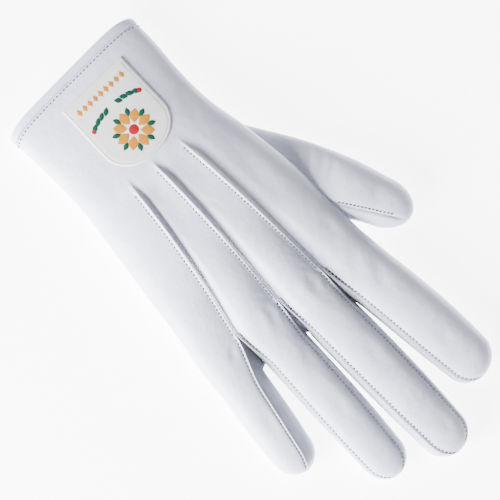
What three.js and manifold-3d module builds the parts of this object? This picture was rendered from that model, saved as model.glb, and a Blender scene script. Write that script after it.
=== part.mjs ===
// A white leather parade glove for the right hand, lying palm down with its fingers together.
// Lengths are in millimetres. X runs across the hand with the thumb at -X, Y runs from the cuff
// to the fingertips, and Z goes up from the surface that the palm rests on.
import * as THREE from "three";
import Module from "manifold-3d";

const wasm = await Module();
wasm.setup();

// The hand, from the cuff's edge to the forks between the fingers
const HAND_LENGTH = 146;
const CUFF_WIDTH = 80;
const KNUCKLE_WIDTH = 99.4;
const HAND_HEIGHT = 25;

// The leather, and the room between two pieces
const WALL = 1.2;
const FOURCHETTE_WALL = 1;
const HEM_WALL = 2;
const PATCH_WALL = 1;
const GAP = 0.3;
const DRAWN_BACK = 0.6 * GAP; // how far each edge keeps from the line that two pieces share
const MOUTH_ROOM = 2 * WALL; // how far the thumb's hollow is carried through its open end

// The fingers, each measured from the middle of its root to its tip
const INDEX_LENGTH = 89.3;
const INDEX_WIDTH = 27.1;
const MIDDLE_LENGTH = 108.9;
const MIDDLE_WIDTH = 25.6;
const RING_LENGTH = 99.7;
const RING_WIDTH = 23.5;
const LITTLE_LENGTH = 69.1;
const LITTLE_WIDTH = 22.7;
const FINGER_HEIGHT = 17;
const ROOT_BLEND = 24; // the stretch in which the back of the hand turns into round fingers
const WEB_FADE = 2.2; // how many webs long the web takes to end in the finger's sides
const TIP_LENGTH = 12;

// The thumb, set into the palm beside the folded edge
const THUMB_LENGTH = 88;
const THUMB_WIDTH = 27.4;
const THUMB_HEIGHT = 16;
const THUMB_TIP = 16.5;
const THUMB_LEAN = 22; // degrees
const THUMB_ROOT = 80.4; // from the cuff's edge
const THUMB_INSET = 9.3; // from the folded edge

// The hem, the patch, and the relief of the back
const HEM_WIDTH = 4.5;
const CUFF_CORNER = 3.2;
const CUFF_SLANT = 0.5; // how much longer the cuff is on the little finger's side
const CORNER_POWER = 8; // the higher, the tighter the corner
const PATCH_WIDTH = 37.5;
const PATCH_LENGTH = 43.6;
const PATCH_START = 12.7; // from the cuff's edge
const PATCH_OFFSET = -3.2; // across, from the middle of the cuff's frame
const PATCH_TURN = 2.9; // degrees
const PATCH_STRAIGHT = 0.66; // of its length, before the round end
const PATCH_ROUND = 0.85; // 1 is an ellipse, and less is fuller
const RIB_HEIGHT = 1.9;
const RIB_WIDTH = 2.4;
const RIB_START = 1.5; // past the patch
const RIB_RISE = 9; // the stretch in which a rib reaches its height
const VALLEY_DEPTH = 1.1;
const VALLEY_WIDTH = 4;
const VALLEY_OFFSET = 3.1; // from the rib, towards the thumb
const HOLLOW_DEPTH = 0.9; // between two ribs
const FORK_DEPTH = 4.6;
const FORK_REACH = 42; // how far the dip of a fork runs back over the hand
const FORK_SWELL = 0.7; // the power that rounds the back between two forks
const LIP_HEIGHT = 0.5;
const FLAT_REST = 1.5; // how much the palm is pressed flat where it lies

// Sections of the hand. along is a share of HAND_LENGTH, flare goes from the cuff's width at 0 to
// the knuckles' at 1, middle is a share of KNUCKLE_WIDTH, and height is one of HAND_HEIGHT.
const HAND_SECTIONS = [
  { along: 0.0, flare: 0.0, middle: 0.017, height: 0.62 },
  { along: 0.11, flare: -0.03, middle: 0.018, height: 0.66 },
  { along: 0.23, flare: -0.12, middle: 0.027, height: 0.74 },
  { along: 0.36, flare: -0.07, middle: 0.033, height: 0.86 },
  { along: 0.48, flare: 0.19, middle: 0.034, height: 0.96 },
  { along: 0.56, flare: 0.35, middle: 0.037, height: 1.0 },
  { along: 0.68, flare: 0.58, middle: 0.045, height: 1.0 },
  { along: 0.85, flare: 0.78, middle: 0.063, height: 0.95 },
  { along: 1.0, flare: 1.0, middle: 0.0855, height: 0.86 },
];

// Lines along the hand that part it into its fingers: the folded edge, the three ribs and the side
// seam. cuff, halfway and fork are places across, as shares of the half width. ahead is how far
// the line runs past HAND_LENGTH, as a share of it. web is how far the web of that fork
// reaches out between the fingers, as a share of ROOT_BLEND.
const EDGE_SHARE = 0.955;
const HALFWAY = 0.6; // of the way from the cuff to the forks
const LINES = [
  { cuff: -EDGE_SHARE, halfway: -EDGE_SHARE, fork: -EDGE_SHARE, ahead: 0.027, web: 0 },
  { cuff: -0.4, halfway: -0.415, fork: -0.475, ahead: 0.0137, web: 0.5 },
  { cuff: -0.01, halfway: 0.002, fork: 0.01, ahead: -0.02, web: 0.5 },
  { cuff: 0.3, halfway: 0.395, fork: 0.515, ahead: -0.034, web: 0.69 },
  { cuff: EDGE_SHARE, halfway: EDGE_SHARE, fork: EDGE_SHARE, ahead: -0.027, web: 0 },
];

// The fingers. lean is in degrees, bow is a share of the width, and height one of FINGER_HEIGHT.
// The other columns say where the seams of the back lie at the root's end and near the tip, as
// shares of the half width: the fingers lie a little rolled, so no two are alike.
const FINGERS = [
  { name: "index", length: INDEX_LENGTH, width: INDEX_WIDTH, lean: -4.0, bow: -0.037,
    height: 1.0, radialRoot: -EDGE_SHARE, radialTip: -EDGE_SHARE, ulnarRoot: 0.73, ulnarTip: 0.71 },
  { name: "middle", length: MIDDLE_LENGTH, width: MIDDLE_WIDTH, lean: 1.9, bow: -0.012,
    height: 1.0, radialRoot: -0.83, radialTip: -0.93, ulnarRoot: 0.82, ulnarTip: 0.55 },
  { name: "ring", length: RING_LENGTH, width: RING_WIDTH, lean: 3.9, bow: -0.01,
    height: 0.97, radialRoot: -0.89, radialTip: -0.72, ulnarRoot: 0.74, ulnarTip: 0.9 },
  { name: "little", length: LITTLE_LENGTH, width: LITTLE_WIDTH, lean: 10.3, bow: 0.02,
    height: 0.92, radialRoot: -0.58, radialTip: -0.22, ulnarRoot: EDGE_SHARE, ulnarTip: EDGE_SHARE },
];
const PALM_SEAM_SHARE = 0.86; // of a finger's half width

// Sections of a finger and of the thumb. along is a share of the length up to the round tip, wide
// and tall are shares of the width and the height.
const FINGER_SECTIONS = [
  { along: 0.0, wide: 0.97, tall: 1.06 },
  { along: 0.35, wide: 1.01, tall: 1.02 },
  { along: 0.75, wide: 1.0, tall: 0.98 },
  { along: 1.0, wide: 0.93, tall: 0.88 },
];
const THUMB_SECTIONS = [
  { along: 0.0, wide: 0.72, tall: 0.62 },
  { along: 0.4, wide: 0.98, tall: 0.76 },
  { along: 0.75, wide: 1.0, tall: 1.0 },
  { along: 1.0, wide: 0.87, tall: 0.94 },
];

// How round the sections are: 2 is an ellipse, and more is fuller
const BACK_ROUND = 2.5;
const FINGER_ROUND = 2.3;
const REST_ROUND = 3;
const REST_LEVEL = 0.48; // the widest level, as a share of the height
const TIP_ROUND = 0.8; // the power of a tip's height over its width

// How finely the surfaces are cut
const CUFF_ROWS = 7; // up to where the ribs start
const HAND_ROWS = 16;
const FINGER_ROWS = 8;
const TIP_ROWS = 6;
const SLOT_TIP_ROWS = 3; // the rows of the tip that a fourchette reaches
const BACK_COLUMNS = 8;
const SIDE_COLUMNS = 4;
const PALM_COLUMNS = 4;
const THUMB_COLUMNS = 18;
const PATCH_COLUMNS = 12;
const PATCH_ROWS = 8; // along the straight sides
const PATCH_ROUND_ROWS = 6;
const HEIGHT_TURNS = 4; // to find a place on the back

const mix = (a, b, share) => a + (b - a) * share;
const same = (a, b) => Math.abs(a - b) < 1e-9;
const clamp = (value) => Math.min(1, Math.max(0, value));
const ease = (value) => clamp(value) ** 2 * (3 - 2 * clamp(value));
const bell = (value) => Math.exp(-value * value);
const radians = THREE.MathUtils.degToRad;

// The value of one column of a table at a place along, on a smooth curve through the rows.
function read(table, column, along) {
  const last = table.length - 1;
  let i = 0;
  while (i < last - 1 && along > table[i + 1].along) i += 1;
  const slope = (j) => {
    const low = table[Math.max(0, j - 1)];
    const high = table[Math.min(last, j + 1)];
    return (high[column] - low[column]) / (high.along - low.along);
  };
  const span = table[i + 1].along - table[i].along;
  const s = clamp((along - table[i].along) / span);
  const bend = span * (slope(i) * s * (1 - s) ** 2 - slope(i + 1) * s ** 2 * (1 - s));
  return mix(table[i][column], table[i + 1][column], ease(s)) + bend;
}

// Where a line of LINES lies across the hand, from the cuff at 0 to the forks at 1.
function lineAcross(line, along) {
  const table = [
    { along: 0, across: line.cuff },
    { along: HALFWAY, across: line.halfway },
    { along: 1, across: line.fork },
  ];
  return read(table, "across", along);
}

const handWidth = (along) => mix(CUFF_WIDTH, KNUCKLE_WIDTH, read(HAND_SECTIONS, "flare", along));
const handMiddle = (along) => KNUCKLE_WIDTH * read(HAND_SECTIONS, "middle", along);
const handHeight = (along) => HAND_HEIGHT * read(HAND_SECTIONS, "height", along);

// The height of a round section at a place across, as a share of its half height.
const arch = (across, round) => Math.max(0, 1 - Math.abs(across) ** round) ** (1 / round);

// The lower half of a section, pressed flat where it lies.
function restHeight(level, share) {
  return Math.max(0, level - (level + FLAT_REST) * share);
}

const RIBS_FROM = PATCH_START + PATCH_LENGTH + RIB_START;
const ribRise = (along) => ease((along * HAND_LENGTH - RIBS_FROM) / RIB_RISE);

// What the forks, ribs, valleys and hollows add to the back of the hand. finger and share say
// between which two lines the place is.
function relief(finger, share, across, along) {
  const left = finger > 0 ? 1 : 0;
  const right = finger < FINGERS.length - 1 ? 1 : 0;
  const phase = mix(left ? 0 : 0.5, right ? 1 : 0.5, share);
  const swell = Math.sin(Math.PI * phase);
  const back = (1 - along) * HAND_LENGTH;
  const dip = FORK_DEPTH * bell(back / FORK_REACH) * (1 - swell ** FORK_SWELL);
  const hollow = HOLLOW_DEPTH * swell * ease(back / FORK_REACH) * ribRise(along);
  let sum = -dip - hollow * (left && right ? 1 : 0.5);
  for (const line of LINES.slice(1, -1)) {
    const away = ((across - lineAcross(line, along)) * handWidth(along)) / 2;
    const ridge = RIB_HEIGHT * bell((2 * away) / RIB_WIDTH);
    const valley = VALLEY_DEPTH * bell((2 * (away + VALLEY_OFFSET)) / VALLEY_WIDTH);
    sum += (ridge - valley) * ribRise(along);
  }
  return sum;
}

// A point on the skin of the hand. place.zone is back, palm or side.
function handPoint(place, along) {
  const line = LINES[place.finger + (place.zone === "side" && place.sign > 0 ? 1 : 0)];
  const next = place.zone === "side" ? line : LINES[place.finger + 1];
  const end = HAND_LENGTH * (1 + mix(line.ahead, next.ahead, place.share));
  const half = handWidth(along) / 2;
  const height = handHeight(along);
  const level = height * REST_LEVEL;
  let across;
  let z;
  if (place.zone === "side") {
    const seam = place.sign * EDGE_SHARE;
    const around = sideArc(seam, seam, place.sign, place.share, BACK_ROUND);
    across = around.across;
    z = around.up > 0 ? level + (height - level) * around.up : restHeight(level, -around.up);
  } else {
    across = mix(lineAcross(line, along), lineAcross(next, along), place.share);
    if (place.zone === "back") {
      z = level + (height - level) * arch(across, BACK_ROUND);
      z += relief(place.finger, place.share, across, along);
    } else {
      z = restHeight(level, arch(across, REST_ROUND));
    }
  }
  const cuffEdge = CUFF_CORNER * Math.abs(across) ** CORNER_POWER - CUFF_SLANT * across;
  return new THREE.Vector3(handMiddle(along) + across * half, mix(cuffEdge, end, along), z);
}

// Goes round a side of a section, from the seam of the back at share 0 to that of the palm at 1.
function sideArc(backSeam, palmSeam, sign, share, round) {
  const turned = (place, fullness) => {
    const outward = sign * place;
    return Math.acos(Math.sign(outward) * Math.abs(outward) ** (fullness / 2));
  };
  const angle = mix(turned(backSeam, round), -turned(palmSeam, REST_ROUND), share);
  const fullness = angle > 0 ? round : REST_ROUND;
  const outward = Math.sign(Math.cos(angle)) * Math.abs(Math.cos(angle)) ** (2 / fullness);
  const up = Math.sign(angle) * Math.abs(Math.sin(angle)) ** (2 / fullness);
  return { across: sign * outward, up };
}

// The middle line of a finger at a distance from its root.
function fingerMiddle(finger, root, distance) {
  const lean = radians(finger.lean);
  const side = finger.bow * finger.width * Math.sin((Math.PI * distance) / finger.length);
  return new THREE.Vector3(
    root.x + distance * Math.sin(lean) + side * Math.cos(lean),
    root.y + distance * Math.cos(lean) - side * Math.sin(lean),
    0,
  );
}

// How much a round tip of the given length narrows a section at a distance along.
function tipShare(distance, length, tip) {
  const into = clamp((distance - (length - tip)) / tip);
  return Math.sqrt(Math.max(0, 1 - into * into));
}

// A point on the skin of a finger, before the root's shape is mixed in.
function fingerPoint(finger, root, place, distance) {
  const along = clamp(distance / (finger.length - TIP_LENGTH));
  const tip = tipShare(distance, finger.length, TIP_LENGTH);
  const half = (finger.width / 2) * read(FINGER_SECTIONS, "wide", along) * tip;
  const height = FINGER_HEIGHT * finger.height * read(FINGER_SECTIONS, "tall", along);
  const level = height * REST_LEVEL;
  const radial = mix(finger.radialRoot, finger.radialTip, distance / finger.length);
  const ulnar = mix(finger.ulnarRoot, finger.ulnarTip, distance / finger.length);
  let across;
  let up;
  if (place.zone === "back") {
    across = mix(radial, ulnar, place.share);
    up = arch(across, FINGER_ROUND);
  } else if (place.zone === "palm") {
    across = mix(-PALM_SEAM_SHARE, PALM_SEAM_SHARE, place.share);
    up = -arch(across, REST_ROUND);
  } else {
    const seam = place.sign > 0 ? ulnar : radial;
    const around = sideArc(seam, place.sign * PALM_SEAM_SHARE, place.sign, place.share, FINGER_ROUND);
    across = around.across;
    up = around.up;
  }
  const flat = tip ** TIP_ROUND;
  const z = up > 0
    ? level + (height - level) * up * flat
    : Math.max(0, level - (level + FLAT_REST) * -up * flat);
  const lean = radians(finger.lean);
  const middle = fingerMiddle(finger, root, distance);
  return new THREE.Vector3(
    middle.x + across * half * Math.cos(lean),
    middle.y - across * half * Math.sin(lean),
    z,
  );
}

// The shares across the back of a finger. Next to a line or seam two narrow cells hold its relief.
function backShares(finger) {
  const width = finger.width;
  const narrow = [0, RIB_WIDTH / 2 / width, (VALLEY_OFFSET + RIB_WIDTH / 2) / width];
  const inner = BACK_COLUMNS - 2 * (narrow.length - 1);
  const shares = [...narrow];
  for (let i = 1; i < inner; i += 1) shares.push(mix(narrow[2], 1 - narrow[2], i / inner));
  return [...shares, 1 - narrow[2], 1 - narrow[1], 1];
}

// The places round a finger: over the back, down the ulnar side, along the palm and up again.
function fingerPlaces(index) {
  const places = backShares(FINGERS[index]).map((share) => ({ zone: "back", finger: index, share }));
  const side = (sign, share) => ({ zone: "side", finger: index, sign, share });
  for (let i = 1; i < SIDE_COLUMNS; i += 1) places.push(side(1, i / SIDE_COLUMNS));
  for (let i = 0; i <= PALM_COLUMNS; i += 1)
    places.push({ zone: "palm", finger: index, share: 1 - i / PALM_COLUMNS });
  for (let i = SIDE_COLUMNS - 1; i > 0; i -= 1) places.push(side(-1, i / SIDE_COLUMNS));
  return places;
}

// The skin: points with the cells between them, each cell marked with its piece.
const skin = { points: [], cells: [] };
const addPoint = (point) => skin.points.push(point) - 1;

function addCell(piece, corners) {
  const kept = corners.filter((corner, i) => corner !== corners[(i + 1) % corners.length]);
  skin.cells.push({ piece, corners: kept });
}

// The places round the hand, in the same order as round a finger.
function handPlaces() {
  const places = [];
  FINGERS.forEach((finger, index) => {
    const shares = backShares(finger).slice(index ? 1 : 0);
    shares.forEach((share) => places.push({ zone: "back", finger: index, share }));
  });
  const last = FINGERS.length - 1;
  for (let i = 1; i < SIDE_COLUMNS; i += 1)
    places.push({ zone: "side", finger: last, sign: 1, share: i / SIDE_COLUMNS });
  for (let index = last; index >= 0; index -= 1)
    for (let i = index === last ? 0 : 1; i <= PALM_COLUMNS; i += 1)
      places.push({ zone: "palm", finger: index, share: 1 - i / PALM_COLUMNS });
  for (let i = SIDE_COLUMNS - 1; i > 0; i -= 1)
    places.push({ zone: "side", finger: 0, sign: -1, share: i / SIDE_COLUMNS });
  return places;
}

const handLoop = handPlaces();
const handRows = [];
for (let row = 0; row <= HAND_ROWS; row += 1) {
  const hem = HEM_WIDTH / HAND_LENGTH;
  const ribs = RIBS_FROM / HAND_LENGTH;
  const nearCuff = row === 0 ? 0 : mix(hem, ribs, (row - 1) / (CUFF_ROWS - 1));
  const nearForks = mix(ribs, 1, (row - CUFF_ROWS) / (HAND_ROWS - CUFF_ROWS));
  const along = row < CUFF_ROWS ? nearCuff : nearForks;
  handRows.push(handLoop.map((place) => addPoint(handPoint(place, along))));
}
joinRows(handRows[0], handRows[1], () => "cuff_hem");
for (let row = 1; row < HAND_ROWS; row += 1)
  joinRows(handRows[row], handRows[row + 1], () => "hand_shell");

function joinRows(first, second, pieceOf) {
  first.forEach((corner, i) => {
    const j = (i + 1) % first.length;
    addCell(pieceOf(i), [corner, first[j], second[j], second[i]]);
  });
}

// The point of the last hand row at a place of a finger, or nothing inside a fork.
function rootCorner(place) {
  const found = handLoop.findIndex(
    (other) =>
      other.zone === place.zone &&
      other.finger === place.finger &&
      other.sign === place.sign &&
      same(other.share, place.share),
  );
  return found < 0 ? undefined : handRows[HAND_ROWS][found];
}

// The corner where two fingers part, on the back or on the palm.
function forkCorner(zone, line) {
  return rootCorner({ zone, finger: line - 1, share: 1 }) ?? rootCorner({ zone, finger: line, share: 0 });
}

const webShape = (share) => 1 - (1 - 2 * share) ** 2;
const webReach = (line) => LINES[line].web * ROOT_BLEND;

// The curve of a fork, from the back's corner out over the web and back to the palm's corner.
const forkCurves = LINES.map((line, number) => {
  if (!line.web) return [];
  const top = skin.points[forkCorner("back", number)];
  const bottom = skin.points[forkCorner("palm", number)];
  const curve = [];
  for (let i = 1; i < SIDE_COLUMNS; i += 1) {
    const share = i / SIDE_COLUMNS;
    const point = top.clone().lerp(bottom, share);
    point.y += webReach(number) * webShape(share);
    curve.push(addPoint(point));
  }
  return curve;
});

// How far a finger's rows lie from its root. The rows of the tip close up towards its end.
function rowDistances(length, tip, rows, tipRows) {
  const distances = [];
  for (let i = 1; i <= rows; i += 1) distances.push(((length - tip) * i) / rows);
  for (let i = 1; i < tipRows; i += 1)
    distances.push(length - tip + tip * Math.sin((Math.PI / 2) * (i / tipRows)));
  return distances;
}

const fourchetteName = (line) => `fourchette_${FINGERS[line - 1].name}_${FINGERS[line].name}`;
const lineOf = (place) => (place.sign > 0 ? place.finger + 1 : place.finger);

function buildFinger(index) {
  const finger = FINGERS[index];
  const places = fingerPlaces(index);
  const corners = places.map((place) => {
    const atBack = place.zone === "back" && (place.share === 0 || place.share === 1);
    const atPalm = place.zone === "palm" && (place.share === 0 || place.share === 1);
    if (atBack || atPalm) {
      const line = index + (place.share === 1 ? 1 : 0);
      return forkCorner(place.zone, line) ?? rootCorner(place);
    }
    if (place.zone === "side" && LINES[lineOf(place)].web)
      return forkCurves[lineOf(place)][Math.round(place.share * SIDE_COLUMNS) - 1];
    return rootCorner(place);
  });
  const backEnds = [0, BACK_COLUMNS].map((i) => skin.points[corners[i]]);
  const root = backEnds[0].clone().lerp(backEnds[1], 0.5);
  const start = fingerMiddle(finger, root, 0);
  const rows = [corners];
  for (const distance of rowDistances(finger.length, TIP_LENGTH, FINGER_ROWS, TIP_ROWS)) {
    const travel = fingerMiddle(finger, root, distance).sub(start);
    rows.push(
      places.map((place, i) => {
        const from = skin.points[corners[i]].clone().add(travel);
        const web = place.zone === "side" ? webReach(lineOf(place)) : 0;
        if (web) from.y -= web * webShape(place.share);
        const to = fingerPoint(finger, root, place, distance);
        const point = from.lerp(to, ease(distance / ROOT_BLEND));
        if (web) point.y += web * webShape(place.share) * (1 - ease(distance / (WEB_FADE * web)));
        return addPoint(point);
      }),
    );
  }
  const slotRows = FINGER_ROWS + SLOT_TIP_ROWS;
  const sideStarts = { 1: BACK_COLUMNS, [-1]: BACK_COLUMNS + SIDE_COLUMNS + PALM_COLUMNS };
  rows.slice(1).forEach((row, r) =>
    joinRows(rows[r], row, (i) => {
      for (const sign of [1, -1]) {
        const line = lineOf({ sign, finger: index });
        const inSide = i >= sideStarts[sign] && i < sideStarts[sign] + SIDE_COLUMNS;
        if (inSide && LINES[line].web && r < slotRows) return fourchetteName(line);
      }
      return "hand_shell";
    }),
  );
  const end = fingerMiddle(finger, root, finger.length);
  const pole = addPoint(end.setZ(FINGER_HEIGHT * finger.height * REST_LEVEL));
  const lastRow = rows[rows.length - 1];
  lastRow.forEach((corner, i) =>
    addCell("hand_shell", [corner, lastRow[(i + 1) % lastRow.length], pole]),
  );
}

FINGERS.forEach((finger, index) => buildFinger(index));

// The outward direction at each point of a skin.
function normalsOf({ points, cells }) {
  const normals = points.map(() => new THREE.Vector3());
  for (const { corners } of cells)
    for (let i = 1; i < corners.length - 1; i += 1) {
      const [a, b, c] = [corners[0], corners[i], corners[i + 1]];
      const side = points[b].clone().sub(points[a]);
      const normal = side.cross(points[c].clone().sub(points[a]));
      [a, b, c].forEach((corner) => normals[corner].add(normal));
    }
  return normals.map((normal) => normal.normalize());
}

// The edges of cells that no neighbour shares, in the direction of their cell.
function openEdges(cells) {
  const edges = new Map();
  for (const { corners } of cells)
    corners.forEach((corner, i) => {
      const next = corners[(i + 1) % corners.length];
      const twin = `${next},${corner}`;
      if (edges.has(twin)) edges.delete(twin);
      else edges.set(`${corner},${next}`, [corner, next]);
    });
  return [...edges.values()];
}

function solidFrom(points, triangles) {
  const used = [...new Set(triangles.flat())];
  const numbers = new Map(used.map((corner, i) => [corner, i]));
  const vertProperties = new Float32Array(used.flatMap((corner) => points[corner].toArray()));
  const triVerts = new Uint32Array(triangles.flat().map((corner) => numbers.get(corner)));
  return new wasm.Manifold(new wasm.Mesh({ numProp: 3, vertProperties, triVerts }));
}

const fan = (corners) => corners.slice(2).map((corner, i) => [corners[0], corners[i + 1], corner]);

// A sheet of leather on some cells of a skin, with its outer face on them. Its edges are drawn
// back from its neighbours, except at the free corners, and lip lifts them there.
function sheetSolid(surface, cells, normals, { wall, free, lip = 0 }) {
  const edges = openEdges(cells);
  const rim = new Set(edges.flat().filter((corner) => !free.has(corner)));
  const inward = new Map([...rim].map((corner) => [corner, new THREE.Vector3()]));
  for (const { corners } of cells) {
    const centre = new THREE.Vector3();
    corners.forEach((corner) => centre.addScaledVector(surface.points[corner], 1 / corners.length));
    for (const corner of corners)
      inward.get(corner)?.add(centre.clone().sub(surface.points[corner]));
  }
  const outer = surface.points.map((point, corner) => {
    if (!rim.has(corner)) return point;
    const moved = point.clone().addScaledVector(inward.get(corner).normalize(), DRAWN_BACK);
    return moved.addScaledVector(normals[corner], normals[corner].z > 0 ? lip : 0);
  });
  const inner = outer.map((point, i) => point.clone().addScaledVector(normals[i], -wall));
  const count = outer.length;
  const triangles = cells.flatMap(({ corners }) => fan(corners));
  const back = triangles.map(([a, b, c]) => [a + count, c + count, b + count]);
  const walls = edges.flatMap(([a, b]) => [
    [b, a, a + count],
    [b, a + count, b + count],
  ]);
  return solidFrom([...outer, ...inner], [...triangles, ...back, ...walls]);
}

const skinNormals = normalsOf(skin);
const cuffCorners = new Set(openEdges(skin.cells).flat());

function skinPiece(name, sizes) {
  const cells = skin.cells.filter((cell) => cell.piece === name);
  return sheetSolid(skin, cells, skinNormals, { free: cuffCorners, ...sizes });
}

// A solid with the room that its neighbours leave round it, sideways and lengthways.
function withRoom(solid) {
  const sideways = solid.translate([GAP, 0, 0]).add(solid.translate([-GAP, 0, 0]));
  const lengthways = solid.translate([0, GAP, 0]).add(solid.translate([0, -GAP, 0]));
  return solid.add(sideways).add(lengthways);
}

// The largest body of a solid, without the crumbs that a cut leaves.
const mainBody = (solid) => solid.decompose().sort((a, b) => b.volume() - a.volume())[0];

// Everything inside the leather of the hand, closed at the cuff.
function handCavity() {
  const inner = skin.points.map((point, i) => point.clone().addScaledVector(skinNormals[i], -WALL));
  const loop = handRows[0];
  const centre = new THREE.Vector3();
  loop.forEach((corner) => centre.addScaledVector(inner[corner], 1 / loop.length));
  const middle = inner.push(centre) - 1;
  const cap = loop.map((corner, i) => [loop[(i + 1) % loop.length], corner, middle]);
  return solidFrom(inner, [...skin.cells.flatMap(({ corners }) => fan(corners)), ...cap]);
}

// The skin of the thumb, closed at its root and its tip.
function thumbSkin() {
  const lean = radians(THUMB_LEAN);
  const along = new THREE.Vector3(-Math.sin(lean), Math.cos(lean), 0);
  const across = new THREE.Vector3(Math.cos(lean), Math.sin(lean), 0);
  const share = THUMB_ROOT / HAND_LENGTH;
  const edge = handMiddle(share) - handWidth(share) / 2;
  const root = new THREE.Vector3(edge + THUMB_INSET, THUMB_ROOT, 0);
  const points = [];
  const cells = [];
  const distances = [0, ...rowDistances(THUMB_LENGTH, THUMB_TIP, FINGER_ROWS, TIP_ROWS)];
  const rows = distances.map((distance) => {
    const place = clamp(distance / (THUMB_LENGTH - THUMB_TIP));
    const tip = tipShare(distance, THUMB_LENGTH, THUMB_TIP);
    const half = (THUMB_WIDTH / 2) * read(THUMB_SECTIONS, "wide", place) * tip;
    const height = THUMB_HEIGHT * read(THUMB_SECTIONS, "tall", place);
    const level = height * REST_LEVEL;
    const row = [];
    for (let i = 0; i < THUMB_COLUMNS; i += 1) {
      const angle = (2 * Math.PI * i) / THUMB_COLUMNS;
      const [right, up] = [Math.cos(angle), -Math.sin(angle)];
      const round = up > 0 ? FINGER_ROUND : REST_ROUND;
      const side = Math.sign(right) * Math.abs(right) ** (2 / round) * half;
      const rise = Math.sign(up) * Math.abs(up) ** (2 / round) * tip ** TIP_ROUND;
      const z = rise > 0 ? level + (height - level) * rise : restHeight(level, -rise);
      const point = root.clone().addScaledVector(along, distance).addScaledVector(across, side);
      row.push(points.push(point.setZ(z)) - 1);
    }
    return row;
  });
  rows.slice(1).forEach((row, r) =>
    row.forEach((corner, i) => {
      const j = (i + 1) % row.length;
      cells.push({ corners: [rows[r][i], rows[r][j], row[j], corner] });
    }),
  );
  const poleAt = (distance, tall) => {
    const point = root.clone().addScaledVector(along, distance);
    return points.push(point.setZ(THUMB_HEIGHT * tall * REST_LEVEL)) - 1;
  };
  const end = poleAt(THUMB_LENGTH, THUMB_SECTIONS[THUMB_SECTIONS.length - 1].tall);
  const lastRow = rows[rows.length - 1];
  lastRow.forEach((corner, i) =>
    cells.push({ corners: [corner, lastRow[(i + 1) % lastRow.length], end] }),
  );
  return { points, cells, mouth: rows[0], along };
}

// The thumb's skin grown by an amount, or drawn in if it is negative, and closed at the mouth,
// which is moved back by a length.
function thumbSolid(thumb, grown, back) {
  const normals = normalsOf(thumb);
  const mouth = new Set(thumb.mouth);
  const points = thumb.points.map((point, i) => {
    const moved = point.clone().addScaledVector(normals[i], grown);
    return mouth.has(i) ? moved.addScaledVector(thumb.along, -back) : moved;
  });
  const centre = new THREE.Vector3();
  thumb.mouth.forEach((corner) =>
    centre.addScaledVector(points[corner], 1 / thumb.mouth.length),
  );
  const middle = points.push(centre) - 1;
  const cap = thumb.mouth.map((corner, i) => [
    thumb.mouth[(i + 1) % thumb.mouth.length],
    corner,
    middle,
  ]);
  return solidFrom(points, [...thumb.cells.flatMap(({ corners }) => fan(corners)), ...cap]);
}

// The height of the hand's back over a place that is given in millimetres. The place along depends
// a little on the place across, so both are worked out in a few turns.
function backHeight(x, y) {
  let along = y / HAND_LENGTH;
  let across = 0;
  let finger = 0;
  let share = 0;
  for (let turn = 0; turn < HEIGHT_TURNS; turn += 1) {
    across = ((x - handMiddle(along)) * 2) / handWidth(along);
    const places = LINES.map((line) => lineAcross(line, along));
    finger = Math.max(0, places.slice(0, -1).findLastIndex((place) => across >= place));
    share = clamp((across - places[finger]) / (places[finger + 1] - places[finger]));
    const ahead = mix(LINES[finger].ahead, LINES[finger + 1].ahead, share);
    along = y / (HAND_LENGTH * (1 + ahead));
  }
  const height = handHeight(along);
  const level = height * REST_LEVEL;
  const arched = level + (height - level) * arch(across, BACK_ROUND);
  return arched + relief(finger, share, across, along);
}

// The shield-shaped patch, straight towards the cuff and round towards the fingers.
function patchSolid() {
  const straight = PATCH_STRAIGHT * PATCH_LENGTH;
  const turn = radians(PATCH_TURN);
  const surface = { points: [], cells: [] };
  const place = (side, forward) => {
    const x = PATCH_OFFSET + side * Math.cos(turn) + forward * Math.sin(turn);
    const y = PATCH_START - side * Math.sin(turn) + forward * Math.cos(turn);
    const z = backHeight(x, y) + GAP + PATCH_WALL;
    return surface.points.push(new THREE.Vector3(x, y, z)) - 1;
  };
  const rows = [];
  for (let r = 0; r < PATCH_ROWS + PATCH_ROUND_ROWS; r += 1) {
    const angle = (Math.PI / 2) * Math.max(0, (r - PATCH_ROWS) / PATCH_ROUND_ROWS);
    const forward = mix(0, straight, Math.min(1, r / PATCH_ROWS));
    const reach = forward + (PATCH_LENGTH - straight) * Math.sin(angle);
    const half = (PATCH_WIDTH / 2) * Math.cos(angle) ** PATCH_ROUND;
    const row = [];
    for (let c = 0; c <= PATCH_COLUMNS; c += 1)
      row.push(place(mix(-half, half, c / PATCH_COLUMNS), reach));
    rows.push(row);
  }
  const end = place(0, PATCH_LENGTH);
  rows.push(rows[0].map(() => end));
  rows.slice(1).forEach((row, r) =>
    row.slice(1).forEach((corner, c) => {
      const corners = [rows[r][c], rows[r][c + 1], corner, row[c]];
      surface.cells.push({ corners: corners.filter((a, i) => a !== corners[(i + 1) % 4]) });
    }),
  );
  const all = new Set(surface.points.keys());
  const normals = surface.points.map(() => new THREE.Vector3(0, 0, 1));
  return sheetSolid(surface, surface.cells, normals, { wall: PATCH_WALL, free: all });
}

const thumb = thumbSkin();
const cavity = handCavity();
const thumbHole = thumbSolid(thumb, GAP, GAP);
const thumbShell = thumbSolid(thumb, 0, 0).subtract(thumbSolid(thumb, -WALL, MOUTH_ROOM));

const leather = { color: 0xf1f0f3, roughness: 0.46, metalness: 0 };
const web = { color: 0xe6e5ea, roughness: 0.52, metalness: 0 };
const cloth = { color: 0xf7f5ee, roughness: 0.8, metalness: 0 };

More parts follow.
